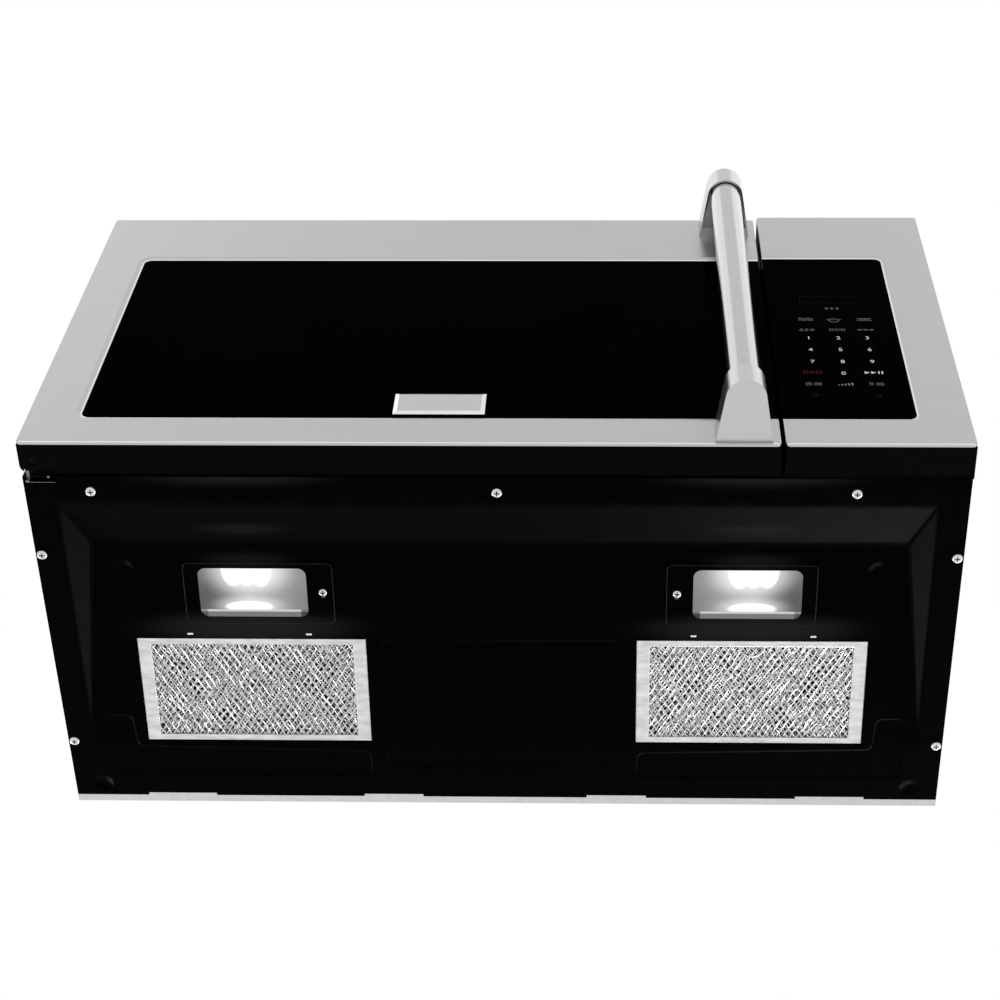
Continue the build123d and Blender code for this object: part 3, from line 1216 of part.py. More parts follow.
def make_lamp_screw():
    screw = pan_screw(*LAMP_SCREW_HEAD, SCREW_R, SCREW_LENGTH - 2)
    return on_slope(Pos(LAMP_SCREW[0], LAMP_SCREW[1], -COVER_THICK - MOVE_GAP) * screw)


def make_lamp_housing():
    wide, deep = lens_size()
    room = 1.2
    wall = HOUSING_WALL
    x, s = LAMP_MIDDLE
    inner = (wide + 2 * room, deep + 2 * room)
    top = SHEET + HOUSING_HEIGHT
    shell = block(about(x, inner[0] + 2 * wall), about(s, inner[1] + 2 * wall), (SHEET, top))
    return on_slope(shell - block(about(x, inner[0]), about(s, inner[1]), (0, top - wall)))


def make_lamp_led():
    ceiling = SHEET + HOUSING_HEIGHT - HOUSING_WALL
    long, deep, thick = LED_BOARD
    start = LAMP_MIDDLE[1] - lens_size()[1] / 2 + LED_SET
    x = LAMP_MIDDLE[0]
    board = block(about(x, long), (start, start + deep), (ceiling - thick, ceiling))
    size_x, size_s, size_h = LED_SIZE
    light_s = about(start + deep / 2, size_s)
    light_h = (ceiling - thick - size_h, ceiling - thick)
    lights = [block(about(x + i * LED_PITCH, size_x), light_s, light_h) for i in (-1, 0, 1)]
    return on_slope(together([board, *lights]))


def make_grease_filter():
    x = about(FILTER_MIDDLE[0], FILTER_SIZE[0])
    s = about(FILTER_MIDDLE[1], FILTER_SIZE[1])
    slab = block(x, s, (FILTER_SET, FILTER_SET + FILTER_THICK))
    edge = FILTER_FRAME
    dish = 1.0
    inner_x, inner_s = (x[0] + edge, x[1] - edge), (s[0] + edge * 0.6, s[1] - edge * 0.6)
    faces = [
        block(inner_x, inner_s, (FILTER_SET - 1, FILTER_SET + dish)),
        block(inner_x, inner_s, (FILTER_SET + FILTER_THICK - dish, FILTER_SET + FILTER_THICK + 1)),
    ]
    return on_slope(cut(slab, faces))


# ---------------------------------------------------------------- every node
def pair(make):
    """The left and right hand copies of a piece made right handed."""
    right = make()
    return {"left": mirrored(right), "right": right}


def group(make):
    """A left and a right hand copy as one node of two solids."""
    right = make()
    return Compound(children=[mirrored(right), right])


def make_nodes():
    nodes = {
        "outer_case": make_outer_case(),
        "rear_panel": make_rear_panel(),
        "base_plate": make_base_plate(),
        "front_frame": make_front_frame(),
        "chassis_floor": make_chassis_floor(),
        "oven_cavity": make_oven_cavity(),
        "case_screws": make_case_screws(),
        "vent_grille": make_vent_grille(),
        "charcoal_filter": make_charcoal_filter(),
        "cord_gland": make_cord_gland(),
        "blower_housing": make_blower_housing(),
        "blower_motor": make_blower_motor(),
        "blower_shaft": make_blower_shaft(),
        "waveguide": make_waveguide(),
        "waveguide_cover": make_waveguide_cover(),
        "magnetron": make_magnetron(),
        "hv_transformer": make_hv_transformer(),
        "hv_capacitor": make_hv_capacitor(),
        "cooling_fan_housing": make_cooling_fan_housing(),
        "cooling_fan_motor": make_cooling_fan_motor(),
        "cooling_fan_wheel": make_cooling_fan_wheel(),
        "turntable_motor": make_turntable_motor(),
        "turntable_coupler": make_turntable_coupler(),
        "roller_ring": make_roller_ring(),
        "glass_tray": make_glass_tray(),
        "control_panel_skin": make_control_panel_skin(),
        "control_panel_glass": make_control_panel_glass(),
        "control_panel_housing": make_control_panel_housing(),
        "control_board": make_control_board(),
        "door_skin": make_door_skin(),
        "door_glass": make_door_glass(),
        "door_body": make_door_body(),
        "door_choke": make_door_choke(),
        "door_inner_trim": make_door_inner_trim(),
        "nameplate": make_nameplate(),
        "latch_bar": make_latch_bar(),
        "latch_spring": make_latch_spring(),
        "handle_bar": make_handle_bar(),
        "handle_post_upper": make_handle_post_upper(),
        "handle_post_lower": make_handle_post_lower(),
        "handle_screws": make_handle_screws(),
        "hinge_bracket_upper": make_hinge_bracket_upper(),
        "hinge_bracket_lower": make_hinge_bracket_lower(),
        "latch_switch_bracket": make_latch_switch_bracket(),
        "interlock_switches": make_interlock_switches(),
        "lamp_housings": group(make_lamp_housing),
        "lamp_led_modules": group(make_lamp_led),
    }
    for i in range(ROLLERS):
        nodes[f"roller_{i + 1}"] = make_roller(i)
    paired = {
        "blower_wheel": make_blower_wheel,
        "lamp_cover": make_lamp_cover,
        "lamp_lens": make_lamp_lens,
        "lamp_screw": make_lamp_screw,
        "grease_filter": make_grease_filter,
    }
    for name, make in paired.items():
        for side, solid in pair(make).items():
            nodes[f"{name}_{side}"] = solid
    return nodes


os.makedirs("parts", exist_ok=True)
for name, shape in make_nodes().items():
    export_step(shape, f"parts/{name}.step")
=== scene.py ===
"""Looks of an over the range microwave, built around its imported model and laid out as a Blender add-on."""
import json
from functools import partial
from math import atan2, cos, pi, radians, sin

import bmesh
import bpy
import numpy as np
from bpy.props import FloatProperty, FloatVectorProperty, IntProperty, PointerProperty
from mathutils import Matrix, Quaternion, Vector
from mathutils.geometry import delaunay_2d_cdt


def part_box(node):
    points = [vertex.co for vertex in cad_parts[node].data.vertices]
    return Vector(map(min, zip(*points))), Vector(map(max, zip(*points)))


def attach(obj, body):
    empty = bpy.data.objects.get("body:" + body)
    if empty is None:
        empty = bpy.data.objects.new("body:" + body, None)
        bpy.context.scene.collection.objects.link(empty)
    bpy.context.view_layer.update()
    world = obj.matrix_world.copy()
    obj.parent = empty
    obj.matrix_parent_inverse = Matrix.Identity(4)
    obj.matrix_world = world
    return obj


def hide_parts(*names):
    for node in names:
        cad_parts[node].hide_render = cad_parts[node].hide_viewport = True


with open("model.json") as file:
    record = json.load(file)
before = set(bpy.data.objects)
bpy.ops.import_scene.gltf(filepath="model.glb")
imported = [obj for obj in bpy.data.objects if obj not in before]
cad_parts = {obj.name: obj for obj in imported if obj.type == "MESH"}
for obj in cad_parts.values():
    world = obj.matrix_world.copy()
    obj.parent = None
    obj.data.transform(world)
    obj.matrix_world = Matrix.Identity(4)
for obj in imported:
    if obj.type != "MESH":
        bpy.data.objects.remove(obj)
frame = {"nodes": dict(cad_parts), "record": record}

bl_info = {
    "name": "Over the Range Microwave",
    "version": (1, 0, 0),
    "blender": (4, 5, 0),
    "location": "View3D > Sidebar > Microwave",
    "description": "Finishes, pressed base, grease filters, lamps, keypad and stage of the microwave",
    "category": "Object",
}

# ---------------------------------------------------------------- sizes in millimetres
MM = 0.001
DEPTH = 370.0                       # from the door's front face to the wall
CASE_HALF = 378.5
FRAME_FACE = 31.8                   # front edge of the base panel behind the door's front face
REAR_EDGE = 363.0
REAR_NOTCH = 2.5
REAR_NOTCHES = ((-98.0, 52.0), (98.0, 52.0), (-285.0, 60.0), (285.0, 60.0))   # middle, width
HINGE_NOTCH = ((-376.8, -352.3), 37.0)
POCKET_FRONT = 56.4
POCKET_LEDGE = 105.2
POCKET_END = 308.0
POCKET_DEEP = 18.0
POCKET_CORNERS = ((354.5, POCKET_FRONT), (335.8, POCKET_LEDGE), (357.5, POCKET_END))
SHEET = 1.0
SLOPE = atan2(POCKET_DEEP, POCKET_END - POCKET_LEDGE)
LENS_HALF = (47.4, 25.7)
LENS_ROOM = 0.8
LAMP_MIDDLE = (205.9, 47.9)         # across, along the slope
LENS_CORNER = 7.0
PLATE_X = (138.0, 264.0)            # the plate round the lens
PLATE_ALONG = (19.0, 78.2)
PLATE_FACE = -1.5                   # its underside above the slope
PLATE_CORNER = 6.0
PLATE_SCREW = (147.3, 46.5)
LAMP_HEAD_HEIGHT = 2.2
TAB_SLOTS = (162.0, 262.5)          # slots for the filters' tabs, across
TAB_ALONG = 89.0
HOOK_SLOTS = ((261.4, 29.0), (261.4, 68.0))   # slots for a lamp cover's hooks
FILTER_MIDDLE = (211.6, 145.6)
FILTER_HALF = (97.5, 51.7)
FILTER_OPENING = (97.9, 52.1)       # half sizes of the base's opening
FILTER_TRAY = (0.4, 10.0)           # walls round it, above the slope's face
FILTER_SPAN = (1.0, 9.0)            # above the slope's face
FILTER_BORDER = (11.8, 6.0)         # width of the folded frame at the sides and at the front and rear
FILTER_BACKING = (6.3, 6.7)         # crushed foil between the layers, above the slope's face
FOIL_HALF = tuple(half - border + 1.0 for half, border in zip(FILTER_HALF, FILTER_BORDER))
GLASS_FACE = 1.6                    # glass behind the door's front face
SCREW_FACE = -2.6                   # the case screws' heads under the base
RECESS_DEPTH = (0.12, 0.5)          # shade in a screw's recess, above the head's face
HINGE_STRAP_FACE = 4.1              # underside of the lower hinge bracket's strap
SKIN_LOW = 1.0                      # lower edge of the stainless skins
SKIN_SPANS = {"door": (-379.5, 226.0), "panel": (229.8, 379.5)}
WINDOW_CORNER = 7.0
# The glass's opening in each skin: open end, closed end, heights.
WINDOWS = {"door": (226.0, -336.7, (42.6, 327.2)), "panel": (229.8, 337.7, (42.6, 331.2))}
LIP = (5.0, 1.4)                    # width and depth of the bevel round the opening
LIP_EDGE = 1.5                      # width of its bright inner edge
ROW_RISE = 0.866                    # height of a row of holes, for a pitch of 1


# ---------------------------------------------------------------- places
def back(distance):
    """Y in metres of a plane this many millimetres behind the door's front face."""
    return (distance - DEPTH) * MM


def on_slope(x, along, above):
    """A point of the sloped base in metres: across, along the slope from the ledge, above the slope."""
    y = POCKET_LEDGE - DEPTH + along * cos(SLOPE) + above * sin(SLOPE)
    z = POCKET_DEEP - along * sin(SLOPE) + above * cos(SLOPE)
    return Vector((x * MM, y * MM, z * MM))


# ---------------------------------------------------------------- colours and shader nodes
def linear(code):
    """A linear RGBA colour from its sRGB hex code."""
    parts = [int(code[i:i + 2], 16) / 255 for i in (0, 2, 4)]
    return tuple(p / 12.92 if p <= 0.04045 else ((p + 0.055) / 1.055) ** 2.4 for p in parts) + (1.0,)


def add(tree, kind, sockets=None, **settings):
    """A new node with its settings, and its inputs set to values or linked to other nodes' outputs."""
    made = tree.nodes.new(kind)
    for name, value in settings.items():
        setattr(made, name, value)
    for name, value in (sockets or {}).items():
        if isinstance(value, bpy.types.NodeSocket):
            tree.links.new(value, made.inputs[name])
        else:
            made.inputs[name].default_value = value
    return made


def calc(tree, kind, *values):
    """The result of a Math node on numbers or on other nodes' outputs."""
    return add(tree, "ShaderNodeMath", dict(enumerate(values)), operation=kind).outputs["Value"]


def grey(tree, level):
    """A grey of a level between 0 and 1."""
    return add(tree, "ShaderNodeCombineColor", {"Red": level, "Green": level, "Blue": level}).outputs["Color"]


def object_place(tree):
    return add(tree, "ShaderNodeTexCoord").outputs["Object"]


def pattern(tree, kind, size):
    """A 0 to 1 pattern on Object coordinates; size gives its features' millimetres along X, Y and Z."""
    scale = Vector(1000.0 / s for s in size)
    spot = add(tree, "ShaderNodeVectorMath", {0: object_place(tree), 1: scale}, operation="MULTIPLY")
    sockets = {"Vector": spot.outputs["Vector"], "Scale": 1.0}
    if kind == "cells":
        cells = add(tree, "ShaderNodeTexVoronoi", sockets)
        return add(tree, "ShaderNodeSeparateColor", {"Color": cells.outputs["Color"]}).outputs["Red"]
    if kind == "pits":
        return add(tree, "ShaderNodeTexVoronoi", sockets).outputs["Distance"]
    return add(tree, "ShaderNodeTexNoise", sockets | {"Detail": 3.0, "Roughness": 0.6}).outputs["Fac"]


def empty_material(name):
    material = bpy.data.materials.new(name)
    material.use_nodes = True
    material.node_tree.nodes.clear()
    return material


def add_surface(tree, sockets):
    surface = add(tree, "ShaderNodeBsdfPrincipled", sockets)
    add(tree, "ShaderNodeOutputMaterial", {"Surface": surface.outputs["BSDF"]})


def finish(name, colour, roughness, metallic=0.0, specular=0.5, tone=None, relief=None, extra=None):
    """A finish with a tone (kind, size, second colour, roughness change) and a relief (kind, size, depth)."""
    material = empty_material(name)
    tree = material.node_tree
    sockets = {"Metallic": metallic, "Roughness": roughness, "Base Color": linear(colour)}
    if metallic == 0.0:
        sockets["Specular IOR Level"] = specular
    if tone:
        kind, size, second, change = tone
        spread = {"Value": pattern(tree, kind, size), "From Min": 0.3, "From Max": 0.7}
        share = add(tree, "ShaderNodeMapRange", spread).outputs["Result"]
        # Mix names its colour sockets like its number sockets, so they are set by place.
        colours = {0: share, 6: linear(colour), 7: linear(second)}
        sockets["Base Color"] = add(tree, "ShaderNodeMix", colours, data_type="RGBA").outputs[2]
        ends = {"To Min": roughness, "To Max": roughness + change}
        sockets["Roughness"] = add(tree, "ShaderNodeMapRange", spread | ends).outputs["Result"]
    if relief:
        kind, size, depth = relief
        bump = {"Height": pattern(tree, kind, size), "Distance": depth * MM, "Strength": 1.0}
        sockets["Normal"] = add(tree, "ShaderNodeBump", bump).outputs["Normal"]
    add_surface(tree, sockets | (extra or {}))
    return material


def make_finishes(looks):
    """Every finish by the record's material slot."""
    made = {}
    # Ferritic stainless sheet with a long satin grain across the front: a quiet grey with faint streaks.
    made["stainless"] = finish(
        "satin_stainless_sheet", "B9B9B9", 0.30, metallic=1.0,
        tone=("noise", (90, 6, 0.9), "B4B4B5", 0.05), relief=("noise", (60, 6, 0.5), 0.004))
    # Polished and lightly brushed stainless tube: crisp light and dark stripes along the bar.
    made["handle_steel"] = finish(
        "brushed_stainless_tube", "BABABA", 0.13, metallic=1.0,
        tone=("noise", (1.2, 1.2, 60), "B6B6B6", 0.04), relief=("noise", (0.8, 0.8, 40), 0.003))
    # Zinc castings polished less than the bar: the same grey, with its stripes run together.
    made["handle_casting"] = finish(
        "polished_zinc_casting", "C0C0C0", 0.24, metallic=1.0,
        tone=("noise", (12, 12, 40), "BCBCBC", 0.04), relief=("noise", (14, 14, 40), 0.004))
    # Toughened glass printed black on its rear face: deep black, with only a weak reflection head on.
    made["black_glass"] = finish(
        "black_printed_glass", "000000", 0.03, specular=looks.glass_gloss,
        tone=("noise", (70, 70, 70), "010101", 0.03))
    # Injection moulded ABS with a fine spark eroded texture: dull black without a clear reflection.
    made["black_plastic"] = finish(
        "moulded_black_abs", "030303", 0.52, specular=0.012,
        tone=("noise", (9, 9, 9), "050505", 0.06), relief=("noise", (0.9, 0.9, 0.9), 0.02))
    # Textured powder coat on sheet steel: soft black with a fine orange peel.
    made["case_paint"] = finish(
        "black_powder_coat", "080808", 0.50, specular=0.03,
        tone=("noise", (14, 14, 14), "0B0B0B", 0.06), relief=("noise", (1.4, 1.4, 1.4), 0.03))
    # Sprayed semi-gloss enamel on pressed steel: near black, with soft light along bends and bevels.
    made["base_paint"] = finish(
        "black_semi_gloss_enamel", "000000", 0.33, specular=looks.paint_gloss,
        tone=("noise", (22, 22, 22), "010101", 0.05), relief=("noise", (1.8, 1.8, 1.8), 0.006))
    add_lamp_spill(made["base_paint"])
    # Fired black enamel on the door's inner pan: smooth and a little glossier than the case.
    made["door_paint"] = finish(
        "black_fired_enamel", "090909", 0.30, specular=0.35,
        tone=("noise", (16, 16, 16), "0E0E0E", 0.05), relief=("noise", (2.4, 2.4, 2.4), 0.01))
    # Light grey cavity enamel with fine darker specks.
    made["cavity_enamel"] = finish(
        "speckled_grey_enamel", "C3C5C3", 0.32,
        tone=("noise", (1.6, 1.6, 1.6), "A9ACAA", 0.05), relief=("noise", (3.0, 3.0, 3.0), 0.01))
    # Hot dip galvanised sheet: crystals of slightly different greys.
    made["galvanised"] = finish(
        "galvanised_sheet", "C8C8C8", 0.34, metallic=1.0,
        tone=("cells", (3.5, 3.5, 3.5), "CFCFD0", 0.10), relief=("noise", (4, 4, 4), 0.01))
    # Rolled and folded aluminium, mill finish: bright grey with faint rolling lines.
    made["aluminium"] = finish(
        "mill_finish_aluminium", "CDCED0", 0.34, metallic=1.0,
        tone=("noise", (30, 0.8, 0.8), "BFC0C2", 0.08), relief=("noise", (20, 0.7, 0.7), 0.008))
    # Soft aluminium strip, folded and slightly dented.
    made["filter_mesh"] = finish(
        "folded_aluminium_strip", "E2E2E2", 0.30, metallic=1.0,
        tone=("noise", (16, 5, 5), "BEBFC0", 0.10), relief=("noise", (9, 7, 7), 0.12))
    # Drawn and ground steel shafts and springs.
    made["steel"] = finish(
        "ground_steel", "B2B3B5", 0.24, metallic=1.0,
        tone=("noise", (0.8, 6, 6), "A2A3A5", 0.08), relief=("noise", (0.6, 5, 5), 0.004))
    # Plated motor can: dull steel with a fine cloudiness.
    made["motor_steel"] = finish(
        "plated_steel_can", "7C7E80", 0.38, metallic=1.0,
        tone=("noise", (12, 12, 12), "8C8E90", 0.10), relief=("noise", (2, 2, 2), 0.01))
    # Zinc plated screws: bright, slightly blue white.
    made["screw_zinc"] = finish(
        "zinc_plated_steel", "D6D8DA", 0.24, metallic=1.0,
        tone=("noise", (1.5, 1.5, 1.5), "C4C7CA", 0.12), relief=("noise", (0.7, 0.7, 0.7), 0.01))
    # Glass filled black nylon blower and fan wheels.
    made["wheel_plastic"] = finish(
        "glass_filled_nylon", "26272A", 0.55,
        tone=("noise", (5, 1.2, 1.2), "303236", 0.08), relief=("noise", (1.0, 0.4, 0.4), 0.02))
    # Natural white acetal: milky, with faint flow marks.
    made["white_plastic"] = finish(
        "natural_white_acetal", "DAD9D3", 0.42,
        tone=("noise", (12, 12, 12), "D0CFC8", 0.06), relief=("noise", (0.8, 0.8, 0.8), 0.01))
    # Pressed clear glass turntable: clear with a slight green body and soft waves from the mould.
    made["tray_glass"] = finish(
        "pressed_clear_glass", "E9F3EF", 0.04, relief=("noise", (14, 14, 14), 0.05),
        extra={"Transmission Weight": 0.92, "IOR": 1.5})
    # Pressed mica sheet over the waveguide: brown, with small silvery flakes.
    made["mica"] = finish(
        "pressed_mica", "B09A76", 0.45,
        tone=("cells", (3.5, 3.5, 3.5), "8F7A58", -0.12), relief=("pits", (3.5, 3.5, 3.5), 0.03))
    # Varnished iron laminations: thin dark brown layers.
    made["transformer"] = finish(
        "varnished_laminations", "5A4638", 0.40,
        tone=("noise", (40, 40, 0.9), "3A2E26", 0.15), relief=("noise", (60, 60, 0.6), 0.10))
    # Green solder mask over copper tracks.
    made["circuit_board"] = finish(
        "green_solder_mask", "14592F", 0.35,
        tone=("cells", (9, 9, 5), "1C6E3C", 0.05), relief=("cells", (9, 9, 5), 0.03))
    # White solder mask under the lamps' diodes.
    made["led_board"] = finish(
        "white_solder_mask", "EFEFEC", 0.35, tone=("noise", (6, 6, 6), "E4E4DF", 0.05),
        extra={"Emission Color": linear("FFFDF6"), "Emission Strength": looks.lamp_light})
    # Satin nickel plate, brushed across: a plain bright field.
    made["nameplate"] = finish(
        "satin_nickel_plate", "C0C0C0", 0.26, metallic=1.0,
        tone=("noise", (30, 3, 0.4), "B8B8B8", 0.06), relief=("noise", (30, 3, 0.4), 0.004))
    # Bonded charcoal pellets: dead black and coarse.
    made["charcoal"] = finish(
        "bonded_charcoal_pellets", "0C0C0C", 0.90, specular=0.2,
        tone=("cells", (4, 4, 4), "1B1B1B", -0.1), relief=("pits", (4, 4, 4), 0.8))
    made["lamp_lens"] = lit_lens("lit_frosted_lens")
    return made


def lens_spot(tree, middle, size, soft):
    """1 inside an ellipse at both lamps, falling to 0 over its soft edge."""
    def vector(kind, *values):
        return add(tree, "ShaderNodeVectorMath", dict(enumerate(values)), operation=kind).outputs

    shift = Vector((0, DEPTH - POCKET_LEDGE, 0))
    spot = vector("MULTIPLY_ADD", object_place(tree), Vector((1000, 1000, 1000)), shift)["Vector"]
    away = vector("SUBTRACT", vector("ABSOLUTE", spot)["Vector"], Vector((*middle, 0)))["Vector"]
    flat = vector("MULTIPLY", away, Vector((1 / size[0], 1 / size[1], 0)))["Vector"]
    length = vector("LENGTH", flat)["Value"]
    fall = {"Value": length, "From Min": 1 - soft, "From Max": 1 + soft, "To Min": 1.0, "To Max": 0.0}
    return add(tree, "ShaderNodeMapRange", fall, interpolation_type="SMOOTHERSTEP").outputs["Result"]


def add_lamp_spill(material):
    """The faint light that the lit lenses spill on the enamel round them, strongest towards the filters."""
    tree = material.node_tree
    surface = next(node for node in tree.nodes if node.type == "BSDF_PRINCIPLED")
    near = lens_spot(tree, (210.0, 82.0), (72.0, 13.0), 0.75)
    front = lens_spot(tree, (210.0, 17.0), (30.0, 6.0), 0.9)
    level = calc(tree, "MULTIPLY", calc(tree, "MULTIPLY_ADD", front, 0.5, near), 0.012)
    tree.links.new(grey(tree, level), surface.inputs["Emission Color"])
    surface.inputs["Emission Strength"].default_value = 1.0


def lens_step(tree, axis, limits, values):
    """A soft step between two distances in millimetres, across from the middle or along the slope."""
    split = add(tree, "ShaderNodeSeparateXYZ", {"Vector": object_place(tree)}).outputs
    if axis == "across":
        spot = calc(tree, "ABSOLUTE", calc(tree, "MULTIPLY", split["X"], 1000.0))
    else:
        spot = calc(tree, "MULTIPLY_ADD", split["Y"], 1000.0, DEPTH - POCKET_LEDGE)
    (low, high), (start, end) = limits, values
    ends = {"Value": spot, "From Min": low, "From Max": high, "To Min": start, "To Max": end}
    return add(tree, "ShaderNodeMapRange", ends, interpolation_type="SMOOTHSTEP").outputs["Result"]


# The bright spots on a lens: middle and size in millimetres, softness, light.
LENS_GLOWS = (
    ((210.5, 25.5), (31.0, 21.0), 0.6, 0.42), ((210.2, 60.6), (26.0, 8.5), 0.6, 0.30),
    ((199.0, 24.8), (9.0, 16.2), 0.20, 0.9), ((210.5, 24.8), (9.0, 15.4), 0.20, 0.9),
    ((222.0, 24.8), (9.0, 16.0), 0.20, 0.9), ((210.2, 61.6), (18.5, 5.2), 0.26, 0.9),
)


def lit_lens(name):
    """Frosted polycarbonate lit from inside: three lobes at the front, their image and a sill at the rear."""
    material = empty_material(name)
    tree = material.node_tree
    math, step = partial(calc, tree), partial(lens_step, tree)
    # The haze is brightest under the diodes and falls off more towards the object's side.
    inner = step("across", (158.0, 200.0), (0.25, 0.47))
    outer = step("across", (208.0, 246.0), (1.0, 0.27))
    haze = math("MULTIPLY", inner, outer)
    haze = math("MULTIPLY", haze, step("along", (34.0, 52.0), (1.08, 0.90)))
    frost = {"Value": pattern(tree, "noise", (2.4, 2.4, 2.4)), "To Min": 0.93, "To Max": 1.07}
    level = math("MULTIPLY", haze, add(tree, "ShaderNodeMapRange", frost).outputs["Result"])
    for middle, size, soft, sent in LENS_GLOWS:
        level = math("ADD", level, math("MULTIPLY", lens_spot(tree, middle, size, soft), sent))
    # Behind the lens's lower glare lies the housing's sill: a bright edge, then a dim face with darker ends.
    sill = step("along", (63.9, 64.5), (0.0, 1.0))
    edge = step("along", (65.7, 66.7), (0.62, 0.19))
    left, right = step("across", (166.0, 168.0), (0.3, 1.0)), step("across", (244.5, 246.5), (1.0, 0.45))
    face = math("MULTIPLY", edge, math("MULTIPLY", left, right))
    lens = math("MULTIPLY", level, math("SUBTRACT", 1.0, sill))
    level = math("MINIMUM", math("ADD", lens, math("MULTIPLY", face, sill)), 1.0)
    add_surface(tree, {
        "Base Color": linear("0A0A0A"), "Roughness": 0.3, "Specular IOR Level": 0.05,
        "Emission Color": grey(tree, level), "Emission Strength": 1.0})
    return material


FINISHES = {}


# ---------------------------------------------------------------- meshes and pieces
def mesh_of(name, points, faces, smooth=False):
    """A mesh from points in metres and faces of point numbers."""
    mesh = bpy.data.meshes.new(name)
    mesh.from_pydata([tuple(p) for p in points], [], [tuple(f) for f in faces])
    mesh.validate()
    mesh.polygons.foreach_set("use_smooth", [smooth] * len(mesh.polygons))
    mesh.update()
    return mesh


def piece(name, shape, body, slot, material=None, stands_for=()):
    """A named piece, from a mesh or from points and faces, that rides on a body in one of the finishes."""
    mesh = shape if isinstance(shape, bpy.types.Mesh) else mesh_of(name, *shape)
    made = bpy.data.objects.new(name, mesh)
    bpy.context.scene.collection.objects.link(made)
    if not mesh.materials:
        mesh.materials.append(material or FINISHES[slot])
    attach(made, body)
    if stands_for:
        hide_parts(*stands_for)
    return made


def joined(parts):
    """Points and faces of several (points, faces) parts in one list."""
    points, faces = [], []
    for more_points, more_faces in parts:
        start = len(points)
        points += list(more_points)
        faces += [[start + i for i in face] for face in more_faces]
    return points, faces


def box_part(place, x, along, above):
    """A box between limits in millimetres, as points and faces, where place turns them into a point."""
    points = [place(i, j, k) for k in above for j in along for i in x]
    faces = [(0, 2, 3, 1), (4, 5, 7, 6), (0, 1, 5, 4), (2, 6, 7, 3), (0, 4, 6, 2), (1, 3, 7, 5)]
    return points, faces


def slope_box(x, along, above):
    return box_part(on_slope, x, along, above)


def plain_place(x, deep, height):
    """A point in metres: across, behind the door's front face, above the base's lowest face."""
    return Vector((x * MM, back(deep), height * MM))


def ring_of_loops(loops, closed=True):
    """Faces between loops of equal length, each joined to the next and, if closed, the last to the first."""
    count = len(loops[0])
    points = [p for loop in loops for p in loop]
    faces = []
    for row in range(len(loops) if closed else len(loops) - 1):
        other = (row + 1) % len(loops)
        for i in range(count):
            j = (i + 1) % count
            faces.append((row * count + i, row * count + j, other * count + j, other * count + i))
    return points, faces


def closed_tube(loops):
    """A tube through loops that run the other way round, with both its ends closed."""
    points, faces = ring_of_loops(loops, closed=False)
    count = len(loops[0])
    faces = [tuple(reversed(face)) for face in faces]
    return points, [*faces, tuple(range(count)), tuple(reversed(range(len(points) - count, len(points))))]


def mirror_part(points, faces):
    """The left hand copy of a right hand part, with its faces turned back outwards."""
    return [Vector((-p[0], p[1], p[2])) for p in points], [tuple(reversed(face)) for face in faces]


def sided(part, side):
    """A right hand part for the side: 1 keeps it, -1 mirrors it."""
    return part if side > 0 else mirror_part(*part)


SIDES = {"left": -1, "right": 1}


# ---------------------------------------------------------------- pressed base panel
def soft_min(a, b, soft):
    """The lower of two heights, rounded where they meet."""
    part = np.clip(0.5 + 0.5 * (b - a) / soft, 0, 1)
    return b * (1 - part) + a * part - soft * part * (1 - part)


def soft_max(a, b, soft):
    return -soft_min(-a, -b, soft)


def side_plane(x, deep):
    """Height of the pocket's side bevel, through its three corners."""
    rows = [(px, pd, 1.0) for px, pd in POCKET_CORNERS]
    a, b, c = np.linalg.solve(np.array(rows), np.array([0.0, POCKET_DEEP, 0.0]))
    return a * np.abs(x) + b * deep + c


def filleted(corners, radius, inset=0.0, steps=5):
    """A closed outline with rounded corners, moved inwards by an inset; the corners run anticlockwise."""
    count = len(corners)
    lines = []
    for i in range(count):
        start, end = Vector(corners[i]), Vector(corners[(i + 1) % count])
        way = (end - start).normalized()
        lines.append((start + Vector((-way.y, way.x)) * inset, way))
    out = []
    for i in range(count):
        (p, u), (q, v) = lines[i - 1], lines[i]
        turn = u.x * v.y - u.y * v.x
        meet = p + u * (((q - p).x * v.y - (q - p).y * v.x) / turn)
        bend = max(radius - inset * (1 if turn > 0 else -1), 0.4)
        half = abs(atan2(turn, u.dot(v))) / 2
        reach = bend * (sin(half) / cos(half))
        start, end = meet - u * reach, meet + v * reach
        for k in range(steps + 1):
            t = k / steps
            curve = start * (1 - t) ** 2 + meet * 2 * t * (1 - t) + end * t * t
            out.append((curve.x, curve.y))
    return out


def depth_inside(points, outline):
    """How far each point lies inside a closed outline, negative outside."""
    a = np.array(outline)
    b = np.roll(a, -1, axis=0)
    p = points[:, None, :]
    along = np.clip(((p - a) * (b - a)).sum(2) / ((b - a) ** 2).sum(1), 0, 1)
    gap = np.sqrt(((p - a - along[..., None] * (b - a)) ** 2).sum(2)).min(1)
    crosses = (a[:, 1] > p[..., 1]) != (b[:, 1] > p[..., 1])
    rise = np.where(b[:, 1] == a[:, 1], 1.0, b[:, 1] - a[:, 1])
    where = a[:, 0] + (p[..., 1] - a[:, 1]) * (b[:, 0] - a[:, 0]) / rise
    inside = (crosses & (p[..., 0] < where)).sum(1) % 2 == 1
    return np.where(inside, gap, -gap)


PAD_LEFT = ((-344, 276), (-320.6, 276), (-318, 307.5), (-116, 312.6), (-115, 339), (-344, 339))
PAD_RIGHT = tuple((-x, d) for x, d in reversed(PAD_LEFT))
PAD_MIDDLE = ((-101, 199), (101, 199), (101, 330), (-101, 330))
PAD_CORNER = 7.0
DIMPLES = ((313.0, POCKET_LEDGE + 26.0 * cos(SLOPE)), (354.0, 350.0))
DIMPLE = (8.5, 2.4)                 # radius, depth


